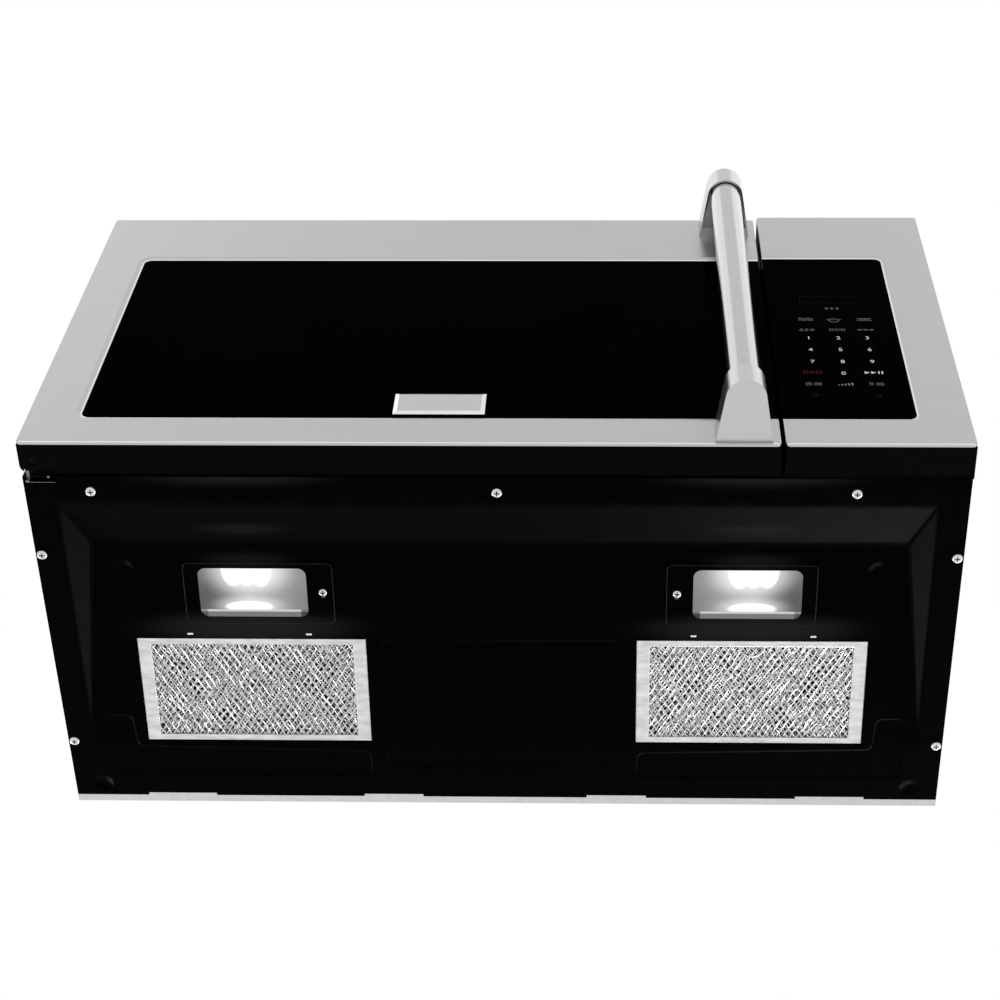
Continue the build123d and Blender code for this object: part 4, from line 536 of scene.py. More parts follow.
def base_height(points, depth):
    """Height in millimetres of the pressed base panel's underside at points (across, behind the front)."""
    x, deep = points[:, 0], points[:, 1]
    front = POCKET_DEEP * (deep - POCKET_FRONT) / (POCKET_LEDGE - POCKET_FRONT)
    main = POCKET_DEEP * (POCKET_END - deep) / (POCKET_END - POCKET_LEDGE)
    roof = soft_min(front, side_plane(x, deep), 2.2)
    height = soft_max(roof, np.zeros_like(roof), 2.0)
    tail = soft_max(main, np.zeros_like(main), 0.4)
    height = np.maximum(soft_min(height, tail, 2.0), 0.0)
    for corners in (PAD_LEFT, PAD_MIDDLE, PAD_RIGHT):
        outline = filleted(turned(corners), PAD_CORNER)
        ramp = np.clip(depth_inside(points, outline) / 2.4 + 0.5, 0, 1)
        height = height + depth * ramp * ramp * (3 - 2 * ramp)
    for side in (-1, 1):
        for middle_x, middle_d in DIMPLES:
            away = np.hypot(x - side * middle_x, deep - middle_d) / DIMPLE[0]
            bowl = np.clip(1.08 - away ** 2, 0, 1)
            height = height + DIMPLE[1] * bowl
    return height


def turned(corners):
    """The corners in anticlockwise order."""
    area = sum(a[0] * b[1] - b[0] * a[1] for a, b in zip(corners, corners[1:] + corners[:1]))
    return corners if area > 0 else tuple(reversed(corners))


def rectangle(x, deep):
    return ((x[0], deep[0]), (x[1], deep[0]), (x[1], deep[1]), (x[0], deep[1]))


def circle(middle, radius, count):
    angles = [2 * pi * i / count for i in range(count)]
    return [(middle[0] + radius * cos(a), middle[1] + radius * sin(a)) for a in angles]


def slope_deep(along):
    """Distance behind the door's front face of a place along the slope."""
    return POCKET_LEDGE + along * cos(SLOPE)


def base_openings():
    """Outlines of the openings in the base panel."""
    holes = [(FILTER_MIDDLE, FILTER_OPENING), (LAMP_MIDDLE, [half + LENS_ROOM for half in LENS_HALF])]
    holes += [((x, TAB_ALONG), (3, 1)) for x in TAB_SLOTS]
    holes += [(middle, (3.2, 5)) for middle in HOOK_SLOTS]
    found = []
    for side in (-1, 1):
        for (x, along), (wide, long) in holes:
            across = sorted((side * (x - wide), side * (x + wide)))
            found.append(rectangle(across, (slope_deep(along - long), slope_deep(along + long))))
        found.append(circle((side * PLATE_SCREW[0], slope_deep(PLATE_SCREW[1])), 2.3, 10))
    x, end = HINGE_NOTCH
    found.append(rectangle(x, (FRAME_FACE - 2, end)))
    for middle, width in REAR_NOTCHES:
        x = (middle - width / 2, middle + width / 2)
        found.append(rectangle(x, (REAR_EDGE - REAR_NOTCH, REAR_EDGE + 2)))
    return found


def bend_lines():
    """Lines beside each bend of the pocket, close enough together to show it rounded."""
    lines = []
    (ax, ad), (bx, bd), (cx, cd) = POCKET_CORNERS
    for shift in (-5.5, -3.5, -1.5, 0.5, 2.5, 5.0):
        lines.append(((-ax, ad + shift), (ax, ad + shift)))
        lines.append(((-bx, bd + shift), (bx, bd + shift)))
    for shift in (-4.0, -1.5, 1.0, 4.0):
        lines.append(((-cx, cd + shift), (cx, cd + shift)))
    for side in (-1, 1):
        for shift in (-2.4, -1.2, 0.0, 1.2, 2.4):
            lines.append(((side * (ax + shift), ad), (side * (cx + shift), cd)))
            lines.append(((side * (bx + shift), bd), (side * (cx + shift), cd)))
            lines.append(((side * (ax + 1.4 * shift), ad), (side * (bx + 1.4 * shift), bd)))
    return lines


def base_sheet():
    """The base panel's triangles in plan: points in millimetres and anticlockwise faces."""
    points, edges = [], []

    def loop(outline):
        start = len(points)
        points.extend(Vector(p) for p in outline)
        count = len(outline)
        edges.extend((start + i, start + (i + 1) % count) for i in range(count))

    def line(*ends):
        count = len(points)
        points.extend(Vector(end) for end in ends)
        edges.append((count, count + 1))

    openings = base_openings()
    loop(rectangle((-CASE_HALF, CASE_HALF), (FRAME_FACE, REAR_EDGE)))
    for opening in openings:
        loop(opening)
    for corners in (PAD_LEFT, PAD_MIDDLE, PAD_RIGHT):
        for inset in (-1.3, -0.5, 0.5, 1.3):
            loop(filleted(turned(corners), PAD_CORNER, inset))
    for side in (-1, 1):
        for x, deep in DIMPLES:
            for share in (0.3, 0.6, 0.85, 1.0, 1.12):
                loop(circle((side * x, deep), DIMPLE[0] * share, 20))
    for ends in bend_lines():
        line(*ends)
    for x in range(-360, 361, 30):
        line((x, FRAME_FACE), (x, REAR_EDGE))
    flat, _, faces, *_ = delaunay_2d_cdt(points, edges, [], 0, 1e-4)
    flat = np.array([(p.x, p.y) for p in flat])
    faces = np.array([tuple(f) for f in faces])
    middle = flat[faces].mean(1)
    keep = (np.abs(middle[:, 0]) < CASE_HALF) & (middle[:, 1] > FRAME_FACE) & (middle[:, 1] < REAR_EDGE)
    for opening in openings:
        keep &= depth_inside(middle, opening) < 0
    faces = faces[keep]
    used = np.unique(faces)
    renumber = np.full(len(flat), -1)
    renumber[used] = np.arange(len(used))
    return flat[used], renumber[faces]


def tray_parts():
    """The upright walls round the openings of the two filters."""
    (mx, ma), (half_x, half_a) = FILTER_MIDDLE, FILTER_OPENING
    x, along = (mx - half_x, mx + half_x), (ma - half_a, ma + half_a)
    round_both = (along[0] - 1, along[1] + 1)
    walls = (
        ((x[0] - 1, x[0]), round_both), ((x[1], x[1] + 1), round_both),
        (x, (along[0] - 1, along[0])), (x, (along[1], along[1] + 1)),
    )
    return [sided(slope_box(*wall, FILTER_TRAY), side) for side in (-1, 1) for wall in walls]


def base_panel(sizes):
    """The pressed panel with its thickness, smooth bends, square cut edges and the filters' trays."""
    plan, faces = base_sheet()
    height = base_height(plan, sizes.emboss_depth)
    low = np.column_stack((plan[:, 0] * MM, (plan[:, 1] - DEPTH) * MM, height * MM))
    high = low + np.array((0, 0, SHEET * MM))
    count = len(low)
    sides = {}
    for face in faces:
        for i in range(3):
            edge = (face[i], face[(i + 1) % 3])
            if edge[::-1] in sides:
                del sides[edge[::-1]]
            else:
                sides[edge] = True
    walls = [(a, b, b + count, a + count) for a, b in sides]
    shell = [tuple(reversed(face)) for face in faces.tolist()] + [tuple(f) for f in (faces + count).tolist()]
    points, all_faces = joined([(np.vstack((low, high)).tolist(), shell + walls), *tray_parts()])
    mesh = mesh_of("pressed_base_panel", points, all_faces, smooth=True)
    smooth_by_area(mesh, len(shell))
    return mesh


def smooth_by_area(mesh, smooth_faces):
    """Smooth normals on the first faces, weighted by area to keep flats flat, and flat ones on the rest."""
    corners = np.zeros(len(mesh.loops), int)
    mesh.loops.foreach_get("vertex_index", corners)
    places = np.array([v.co for v in mesh.vertices])
    totals = np.zeros((len(places), 3))
    for poly in mesh.polygons[:smooth_faces]:
        i, j, k = poly.vertices
        totals[[i, j, k]] += np.cross(places[j] - places[i], places[k] - places[i])
    lengths = np.linalg.norm(totals, axis=1, keepdims=True)
    totals = np.divide(totals, lengths, out=np.zeros_like(totals), where=lengths > 0)
    normals = totals[corners]
    for poly in mesh.polygons[smooth_faces:]:
        normals[poly.loop_start:poly.loop_start + poly.loop_total] = poly.normal
    mesh.normals_split_custom_set([tuple(n) for n in normals])


# ---------------------------------------------------------------- lamps
def lens_part(crown):
    """A right hand frosted lens: a plate with rounded corners, crowned a little towards the room."""
    (mx, ma), (half_x, half_a) = LAMP_MIDDLE, LENS_HALF
    corners = rectangle((mx - half_x, mx + half_x), (ma - half_a, ma + half_a))
    loops = []
    for inset, drop in ((0, 2.2), (0, 0.0), (0.4, -0.3), (6.0, -0.3), (14.0, -0.3 - crown)):
        loops.append([on_slope(x, a, drop) for x, a in filleted(corners, LENS_CORNER, inset)])
    return closed_tube(loops)


def plate_rim_part():
    """The rolled rim of the right hand lamp plate, a fine raised line just inside its outline."""
    loops = []
    for inset, drop in ((0.5, 0.0), (0.65, 0.14), (0.95, 0.14), (1.1, 0.0)):
        ring = filleted(rectangle(PLATE_X, PLATE_ALONG), PLATE_CORNER, inset)
        loops.append([on_slope(x, a, PLATE_FACE - drop) for x, a in ring])
    return ring_of_loops(loops)


# ---------------------------------------------------------------- small bright and dark details
def prism_part(place, middle, radius, above, count=12):
    """A short closed prism about a middle, where place turns millimetres into a point."""
    ring = circle(middle, radius, count)
    points = [place(x, a, h) for h in above for x, a in ring]
    faces = [(i, (i + 1) % count, count + (i + 1) % count, count + i) for i in range(count)]
    return points, [*faces, tuple(reversed(range(count))), tuple(range(count, 2 * count))]


def underside_screws():
    """Middles in millimetres, across and behind the door's front, of the case screws that face down."""
    groups = []
    for vertex in frame["nodes"]["case_screws"].data.vertices:
        if vertex.co.z > SCREW_FACE * 0.5 * MM:
            continue
        near = [group for group in groups if (group[0] - vertex.co).length < 9 * MM]
        if near:
            near[0].append(vertex.co.copy())
        else:
            groups.append([vertex.co.copy()])
    middles = []
    for group in groups:
        x, y = ([point[axis] / MM for point in group] for axis in (0, 1))
        middles.append(((min(x) + max(x)) / 2, (min(y) + max(y)) / 2 + DEPTH))
    return middles


def lip_edge_part(open_x, closed_x, height):
    """The strip with a painted highlight at the inner edge of the bevel round a skin's opening, from its open end round
    to its open end.
    """
    way = 1 if open_x > closed_x else -1
    middle_x, r = closed_x + way * WINDOW_CORNER, WINDOW_CORNER
    path = [((open_x, height[1] - r), (0.0, 1.0))]
    for i in range(15):
        turn = pi * i / 14
        middle_z = height[1] - r if i < 7 else height[0] + r
        path.append(((middle_x, middle_z), (-way * sin(turn), cos(turn))))
    path.append(((open_x, height[0] + r), (0.0, -1.0)))
    loops = []
    for (x, z), (out_x, out_z) in path:
        ring = []
        for out, sunk in ((0.0, -0.05), (LIP_EDGE, -0.05), (LIP_EDGE, 0.2), (0.0, 0.2)):
            deep = LIP[1] * (1 - out / LIP[0]) + sunk
            ring.append(plain_place(x + out_x * (r + out), deep, z + out_z * (r + out)))
        loops.append(ring)
    points, faces = ring_of_loops(loops, closed=False)
    return points, [*faces, (0, 1, 2, 3), tuple(range(len(points) - 4, len(points)))]


def outward(mesh):
    """The mesh with all its faces turned outwards."""
    edit = bmesh.new()
    edit.from_mesh(mesh)
    bmesh.ops.recalc_face_normals(edit, faces=edit.faces)
    edit.to_mesh(mesh)
    edit.free()
    return mesh


# ---------------------------------------------------------------- grease filters
def filter_frame_part():
    """A right hand filter's folded frame with mitred corners."""
    (mx, ma), (half_x, half_a) = FILTER_MIDDLE, FILTER_HALF
    low, high = FILTER_SPAN
    profile = (
        (0.00, high - 0.8), (0.00, low + 0.8), (0.03, low + 0.25), (0.09, low), (0.50, low + 0.12), (0.90, low),
        (0.97, low + 0.2), (1.00, low + 0.7), (1.00, high - 0.6), (0.94, high), (0.08, high),
    )
    loops = []
    for share, above in profile:
        x, a = half_x - share * FILTER_BORDER[0], half_a - share * FILTER_BORDER[1]
        corners = ((mx - x, ma - a), (mx + x, ma - a), (mx + x, ma + a), (mx - x, ma + a))
        loops.append([on_slope(i, j, above) for i, j in corners])
    points, faces = ring_of_loops(loops)
    return points, [tuple(reversed(face)) for face in faces]


def finger_ring_part():
    """A wire half ring at the filter's front edge, to pull it down by."""
    mx, ma = FILTER_MIDDLE
    start = ma - FILTER_HALF[1] + FILTER_BORDER[1] - 1.0
    reach, wire = 11.0, 0.65
    loops = []
    for i in range(17):
        turn = pi * i / 16
        x, along = mx + reach * cos(turn), start + reach * sin(turn)
        ring = []
        for k in range(8):
            angle = 2 * pi * k / 8
            out, up = wire * cos(angle), wire * sin(angle)
            ring.append(on_slope(x + out * cos(turn), along + out * sin(turn), FILTER_SPAN[0] + 0.9 + up))
        loops.append(ring)
    return closed_tube(loops)


def geometry_tree(title, inputs):
    """A Geometry Nodes tree with named inputs of given kinds, and the outputs of its input node."""
    tree = bpy.data.node_groups.new(title, "GeometryNodeTree")
    tree.interface.new_socket("Geometry", in_out="OUTPUT", socket_type="NodeSocketGeometry")
    for name, kind in inputs.items():
        tree.interface.new_socket(name, in_out="INPUT", socket_type="NodeSocket" + kind)
    return tree, add(tree, "NodeGroupInput").outputs


def close_tree(tree, geometry, material):
    """The tree with the material set on its geometry and joined to its output."""
    dressed = add(tree, "GeometryNodeSetMaterial", {"Geometry": geometry, "Material": material})
    add(tree, "NodeGroupOutput", {"Geometry": dressed.outputs["Geometry"]})
    return tree


def foil_tree():
    """Geometry Nodes for one layer of expanded foil: crossed, twisted, crumpled strands about the origin."""
    tree, given = geometry_tree("expanded_foil", {
        "Width": "Float", "Length": "Float", "Cell Width": "Float", "Cell Length": "Float",
        "Strand": "Float", "Crumple": "Float", "Seed": "Int", "Material": "Material"})
    math = partial(calc, tree)
    # A whole number of diamonds fills the pad, so each is a little wider or narrower than asked for.
    across = math("ROUND", math("DIVIDE", given["Width"], given["Cell Width"]))
    down = math("ROUND", math("DIVIDE", given["Length"], given["Cell Length"]))
    cell_x, cell_y = math("DIVIDE", given["Width"], across), math("DIVIDE", given["Length"], down)
    wide, long = math("SUBTRACT", given["Width"], cell_x), math("SUBTRACT", given["Length"], cell_y)
    sizes = {"Size X": wide, "Size Y": long, "Vertices X": across, "Vertices Y": down}
    grid = add(tree, "GeometryNodeMeshGrid", sizes).outputs["Mesh"]
    squares = math("ADD", math("MULTIPLY", cell_x, cell_x), math("MULTIPLY", cell_y, cell_y))
    bar = {"X": math("SQRT", squares), "Y": given["Strand"], "Z": math("MULTIPLY", given["Strand"], 0.45)}
    size = add(tree, "ShaderNodeCombineXYZ", bar).outputs["Vector"]
    strand = add(tree, "GeometryNodeMeshCube", {"Size": size, "Vertices X": 5}).outputs["Mesh"]
    lean = math("ARCTAN2", cell_y, cell_x)
    crossed = add(tree, "GeometryNodeJoinGeometry")
    for way in (1.0, -1.0):
        angles = {"X": 0.24 * way, "Z": math("MULTIPLY", lean, way)}
        turn = add(tree, "ShaderNodeCombineXYZ", angles).outputs["Vector"]
        placed = add(tree, "GeometryNodeTransform", {"Geometry": strand, "Rotation": turn})
        tree.links.new(placed.outputs["Geometry"], crossed.inputs[0])
    layer = add(tree, "GeometryNodeInstanceOnPoints", {"Points": grid, "Instance": crossed.outputs[0]})
    real = add(tree, "GeometryNodeRealizeInstances", {"Geometry": layer.outputs[0]}).outputs["Geometry"]
    spot = add(tree, "GeometryNodeInputPosition").outputs["Position"]
    ruffle = {"Vector": spot, "W": math("MULTIPLY", given["Seed"], 7.31), "Scale": 115.0, "Detail": 3.0}
    noise = add(tree, "ShaderNodeTexNoise", ruffle, noise_dimensions="4D").outputs["Color"]
    half = Vector((0.5, 0.5, 0.5))
    centred = add(tree, "ShaderNodeVectorMath", {0: noise, 1: half}, operation="SUBTRACT").outputs["Vector"]
    push = {0: centred, "Scale": given["Crumple"]}
    moved = add(tree, "ShaderNodeVectorMath", push, operation="SCALE").outputs["Vector"]
    shaped = add(tree, "GeometryNodeSetPosition", {"Geometry": real, "Offset": moved})
    return close_tree(tree, shaped.outputs["Geometry"], given["Material"])


def baked(name, tree, values):
    """The plain mesh that a Geometry Nodes tree gives for the values of its named inputs."""
    holder = bpy.data.objects.new(name + "_holder", bpy.data.meshes.new(name + "_holder"))
    bpy.context.scene.collection.objects.link(holder)
    made = holder.modifiers.new("nodes", "NODES")
    made.node_group = tree
    for socket in tree.interface.items_tree:
        if socket.in_out == "INPUT" and socket.name in values:
            made[socket.identifier] = values[socket.name]
    graph = bpy.context.evaluated_depsgraph_get()
    shaped = holder.evaluated_get(graph)
    mesh = bpy.data.meshes.new_from_object(shaped, preserve_all_data_layers=True, depsgraph=graph)
    mesh.name = name
    bpy.data.objects.remove(holder)
    return mesh


def foil_material():
    """Bright annealed aluminium foil strands, cut and pulled into diamonds."""
    return finish(
        "expanded_aluminium_foil", "FCFCFC", 0.22, metallic=1.0,
        tone=("noise", (2.2, 2.2, 2.2), "929496", 0.16), relief=("noise", (1.2, 1.2, 1.2), 0.05))


def foil_backing():
    """The deeper crushed layers of foil, dim in the pad's shade."""
    return finish(
        "crushed_foil_in_shade", "505152", 0.45, metallic=1.0,
        tone=("noise", (4.5, 4.5, 4.5), "020202", 0.15), relief=("noise", (2.0, 1.6, 1.6), 0.6))


# ---------------------------------------------------------------- door screen, keypad and nameplate
def dot_tree():
    """Geometry Nodes for a staggered field of small round holes, drawn as thin dark discs."""
    tree, given = geometry_tree("screen_holes", {
        "Columns": "Int", "Rows": "Int", "Pitch": "Float", "Radius": "Float", "Material": "Material"})
    math = partial(calc, tree)
    wide = math("MULTIPLY", math("SUBTRACT", given["Columns"], 1.0), given["Pitch"])
    rise = math("MULTIPLY", given["Pitch"], ROW_RISE)
    high = math("MULTIPLY", math("SUBTRACT", given["Rows"], 1.0), rise)
    sizes = {"Size X": wide, "Size Y": high, "Vertices X": given["Columns"], "Vertices Y": given["Rows"]}
    grid = add(tree, "GeometryNodeMeshGrid", sizes).outputs["Mesh"]
    place = add(tree, "GeometryNodeInputPosition").outputs["Position"]
    y = add(tree, "ShaderNodeSeparateXYZ", {"Vector": place}).outputs["Y"]
    row = math("ROUND", math("DIVIDE", math("ADD", y, math("MULTIPLY", high, 0.5)), rise))
    aside = math("MULTIPLY", math("MODULO", row, 2.0), math("MULTIPLY", given["Pitch"], 0.5))
    offset = add(tree, "ShaderNodeCombineXYZ", {"X": aside}).outputs["Vector"]
    staggered = add(tree, "GeometryNodeSetPosition", {"Geometry": grid, "Offset": offset}).outputs["Geometry"]
    disc = add(tree, "GeometryNodeMeshCircle", {"Vertices": 8, "Radius": given["Radius"]}, fill_type="NGON")
    sockets = {"Points": staggered, "Instance": disc.outputs["Mesh"]}
    dots = add(tree, "GeometryNodeInstanceOnPoints", sockets).outputs["Instances"]
    real = add(tree, "GeometryNodeRealizeInstances", {"Geometry": dots}).outputs["Geometry"]
    return close_tree(tree, real, given["Material"])


def strip(points, width):
    """A flat line of a width along points, as (points, faces) in the keypad's plane."""
    left, right = [], []
    for i, point in enumerate(points):
        before, after = Vector(points[max(i - 1, 0)]), Vector(points[min(i + 1, len(points) - 1)])
        way = (after - before).normalized()
        aside = Vector((-way.y, way.x)) * width / 2
        left.append(Vector(point) + aside)
        right.append(Vector(point) - aside)
    count = len(points)
    return left + right, [(i, count + i, count + i + 1, i + 1) for i in range(count - 1)]


def area(points):
    return [Vector(p) for p in points], [tuple(range(len(points)))]


def arc(middle, radius, start, end, steps=14):
    angles = [radians(start + (end - start) * i / steps) for i in range(steps + 1)]
    return [(middle[0] + radius * cos(a), middle[1] + radius * sin(a)) for a in angles]


def wave(middle, length, rise):
    return [(middle[0] + length * (i / 16 - 0.5), middle[1] + rise * sin(2 * pi * i / 8)) for i in range(17)]


LINE = 0.5                          # width of the keypad's lines


def shifted(parts, across, height=0.0):
    """Flat parts moved in the keypad's plane."""
    return [([(p[0] + across, p[1] + height) for p in points], faces) for points, faces in parts]


def in_row(parts, pitch, count=3):
    """Copies of flat parts side by side, about their own middle."""
    return [part for i in range(count) for part in shifted(parts, pitch * (i - (count - 1) / 2))]


def signs():
    """The keypad's plain signs: (across, height, ink, parts drawn about their own middle)."""
    heat = [strip(wave((0, h), 13.0, 0.5), LINE) for h in (-1.7, 0.2, 2.1)]
    dish = [strip(arc((0, -0.4), 4.6, 180, 360), LINE), strip([(-6.4, -0.4), (6.4, -0.4)], LINE),
            *in_row([strip([(0, 0.9), (0, 2.5)], LINE)], 2.6)]
    stacked = [strip([(-half, h), (half, h)], LINE) for h, half in ((-1.9, 6.4), (0.0, 5.2), (1.9, 6.4))]
    drop = [strip(arc((0, -0.4), 1.4, 150, 390), LINE), strip([(-1.2, 0.3), (0, 2.2), (1.2, 0.3)], LINE)]
    cup = [strip([(-1.7, 1.5), (-1.4, -1.5), (1.4, -1.5), (1.7, 1.5), (-1.7, 1.5)], LINE)]
    bowl = [strip(arc((0, 0.8), 1.7, 180, 360), LINE), strip([(-2.1, 0.8), (2.1, 0.8)], LINE)]
    flake = [strip([(-1.7 * cos(a), -1.7 * sin(a)), (1.7 * cos(a), 1.7 * sin(a))], LINE)
             for a in (pi / 6, pi / 2, 5 * pi / 6)]
    lines = [strip([(-3.2, h), (3.2, h)], LINE) for h in (-1.6, 0.0, 1.6)]
    clock = [strip(arc((0, 0), 2.4, 0, 360, 24), LINE), strip([(0, 1.5), (0, 0), (1.2, 0)], LINE)]
    power = [area(rectangle((x - 0.7, x + 0.7), (-2.3, -1.1 + 0.8 * i)))
             for i, x in enumerate((-5.6, -2.8, 0.0, 2.8, 5.6))]
    timer = [strip([(-1.7, 2.3), (1.7, 2.3), (-1.7, -2.3), (1.7, -2.3), (-1.7, 2.3)], LINE)]
    lamp = [strip(arc((0, 0.5), 2.0, -60, 240), LINE), strip([(-0.9, -2.2), (0.9, -2.2)], LINE)]
    fan = [strip(arc((1.3 * cos(a), 1.3 * sin(a)), 1.2, 0, 360, 12), LINE) for a in (0.5, 2.6, 4.7)]
    cross = [strip([(-1.9, -1.9), (1.9, 1.9)], 0.9), strip([(-1.9, 1.9), (1.9, -1.9)], 0.9)]
    stop = in_row([strip(((-1.9, -1.9), (1.9, -1.9), (1.9, 1.9), (-1.9, 1.9), (-1.9, -1.9)), 0.8)], 11.0, 2) + cross
    start = [area([(-7.6, -2.2), (-3.4, 0.0), (-7.6, 2.2)]), area([(-2.2, -2.2), (2.0, 0.0), (-2.2, 2.2)]),
             area(rectangle((3.6, 4.8), (-2.2, 2.2))), area(rectangle((6.4, 7.6), (-2.2, 2.2)))]
    frame_line = [strip([(-25, -6), (25, -6), (25, 6), (-25, 6), (-25, -6)], 0.3)]
    return (
        (285.4, 234.5, "soft", in_row(flake, 4.6)), (260.8, 213.9, "soft", heat), (285.2, 213.9, "soft", dish),
        (311.5, 213.9, "soft", stacked), (260.4, 194.9, "soft", in_row(drop, 4.6)),
        (286.6, 194.9, "soft", in_row(cup, 5.0)), (311.1, 194.9, "soft", in_row(bowl, 5.0)),
        (259.4, 120.2, "red", stop), (310.4, 119.7, "white", start),
        (259.1, 100.4, "soft", shifted(clock, -4.2) + shifted(lines, 3.4)), (285.2, 100.4, "soft", power),
        (310.9, 100.4, "soft", shifted(timer, -4.4) + shifted(lines, 2.8)),
        (259.1, 81.6, "faint", lamp), (310.4, 81.6, "faint", fan), (283.0, 251.0, "faint", frame_line),
    )


DIGITS = (
    ("1", 261.0, 180.0), ("2", 286.3, 180.0), ("3", 311.0, 180.0), ("4", 261.0, 159.3), ("5", 286.3, 159.3),
    ("6", 311.0, 159.3), ("7", 261.0, 138.3), ("8", 286.3, 138.3), ("9", 311.0, 138.3), ("0", 285.3, 118.3),
)


def on_glass(across, height, lift=0.0):
    """A point on the face of the control panel's glass, lifted towards the room by some millimetres."""
    return Vector((across * MM, back(GLASS_FACE - lift), height * MM))


def printed(name, parts, ink, lift=0.04):
    """Flat outlines in the keypad's plane as one thin print on the glass."""
    points, faces = joined(parts)
    placed = [on_glass(p[0], p[1], lift) for p in points]
    mesh = mesh_of(name, placed, faces)
    mesh.materials.append(ink)
    return mesh


def digit_parts(size):
    """The ten digits as flat meshes about their places, from the text font."""
    parts = []
    for text, across, height in DIGITS:
        curve = bpy.data.curves.new("digit", "FONT")
        curve.body, curve.size, curve.align_x, curve.align_y = text, size, "CENTER", "CENTER"
        curve.offset = 0.05
        holder = bpy.data.objects.new("digit", curve)
        bpy.context.scene.collection.objects.link(holder)
        graph = bpy.context.evaluated_depsgraph_get()
        mesh = bpy.data.meshes.new_from_object(holder.evaluated_get(graph), depsgraph=graph)
        points = [(v.co.x + across, v.co.y + height) for v in mesh.vertices]
        parts.append((points, [tuple(poly.vertices) for poly in mesh.polygons]))
        bpy.data.objects.remove(holder)
        bpy.data.meshes.remove(mesh)
    return parts


def ink(name, colour):
    """Screen printed ink on the front of the glass: flat, matt, with a slightly uneven coat."""
    return finish(name, colour, 0.6, specular=0.1, tone=("noise", (1.5, 1.5, 1.5), colour, 0.1),
                  relief=("noise", (0.8, 0.8, 0.8), 0.005))


def plate_mesh(border, field, bevel):
    """The blank nameplate: a raised field inside a wide bevel."""
    low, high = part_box("nameplate")
    x, z = (low.x, high.x), (low.z, high.z)
    loops = []
    for inset, forward in ((0, 0.0), (0, 0.55), (border - 0.35, 1.86), (border, 1.98), (border + 0.5, 2.0)):
        step = inset * MM
        y = high.y - forward * MM
        loops.append([Vector((x[0] + step, y, z[0] + step)), Vector((x[1] - step, y, z[0] + step)),
                      Vector((x[1] - step, y, z[1] - step)), Vector((x[0] + step, y, z[1] - step))])
    points, faces = ring_of_loops(loops, closed=False)
    bevel_faces = len(faces) - 4
    faces.append(tuple(range(len(points) - 4, len(points))))
    faces.append(tuple(reversed(range(4))))
    mesh = mesh_of("blank_nameplate", points, faces)
    mesh.materials.append(field)
    mesh.materials.append(bevel)
    for number, polygon in enumerate(mesh.polygons):
        polygon.material_index = 1 if number < bevel_faces or number == len(faces) - 1 else 0
    return mesh


# ---------------------------------------------------------------- settings
class FinishSettings(bpy.types.PropertyGroup):
    """Gloss and light of the finishes."""
    glass_gloss: FloatProperty(name="Glass gloss", description="Reflection of the black glass", default=0.001, min=0)
    paint_gloss: FloatProperty(name="Paint gloss", description="Reflection of the base's enamel", default=0.012, min=0)
    lamp_light: FloatProperty(name="Lamp light", description="Brightness of the lamps", default=2.5, min=0)


class BaseSettings(bpy.types.PropertyGroup):
    """Sizes of the pressed base panel."""
    emboss_depth: FloatProperty(
        name="Emboss depth", description="Depth of the pressed pads in millimetres", default=0.8, min=0, max=2)
    lens_crown: FloatProperty(
        name="Lens crown", description="How far the lens bulges in millimetres", default=0.0, min=0, max=0.3)


class FilterSettings(bpy.types.PropertyGroup):
    """Sizes of the grease filters' foil."""
    cell: FloatVectorProperty(
        name="Cell", description="Size of a diamond of the foil", default=(6.6 * MM, 8.8 * MM), size=2,
        unit="LENGTH", min=0.001)
    strand: FloatProperty(
        name="Strand", description="Width of a strand of foil", default=0.80 * MM, unit="LENGTH", min=0.0001)
    crumple: FloatProperty(
        name="Crumple", description="How far the foil is crumpled", default=4.6 * MM, unit="LENGTH", min=0)
    layers: IntProperty(name="Layers", description="Layers of foil", default=4, min=1, max=5)
    seed: IntProperty(name="Seed", description="Fixed seed of the crumpling", default=3)


class FrontSettings(bpy.types.PropertyGroup):
    """Sizes and colours of the keypad, the nameplate and the door's screen."""
    digit_height: FloatProperty(
        name="Digit size", description="Size of the keypad's digits in millimetres", default=7.6, min=1)
    border: FloatProperty(
        name="Nameplate bevel", description="Width of the nameplate's bevel in millimetres", default=3.4, min=0.5)
    hole_pitch: FloatProperty(
        name="Hole pitch", description="Distance between the screen's holes", default=4.0 * MM, unit="LENGTH",
        min=0.002)
    hole_radius: FloatProperty(
        name="Hole radius", description="Radius of the screen's holes", default=1.15 * MM, unit="LENGTH", min=0.0003)


class StageSettings(bpy.types.PropertyGroup):
    """Light of the stage."""
    sky: FloatProperty(name="Sky", description="Even light on the object", default=0.8, min=0)
    sides: FloatProperty(name="Ceiling panels", description="Radiance of the two panels", default=0.34, min=0)


# ---------------------------------------------------------------- operators
class DressFrame(bpy.types.Operator):
    """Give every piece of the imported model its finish"""
    bl_idname = "microwave.dress_frame"
    bl_label = "Dress the packed pieces"

    def execute(self, context):
        FINISHES.update(make_finishes(context.scene.microwave_finish))
        for part in frame["record"]["subparts"]:
            shown = frame["nodes"][part["node"]]
            shown.data.materials.clear()
            casting = part["node"].startswith("handle_post")
            shown.data.materials.append(FINISHES["handle_casting" if casting else part["material_slot"]])
        return {"FINISHED"}


class MakeBasePanel(bpy.types.Operator):
    """Make the pressed base panel with its pocket, pads, dimples and openings"""
    bl_idname = "microwave.base_panel"
    bl_label = "Base panel"

    def execute(self, context):
        mesh = base_panel(context.scene.microwave_base)
        piece("pressed_base_panel", mesh, "case", "base_paint", stands_for=("base_plate",))
        return {"FINISHED"}


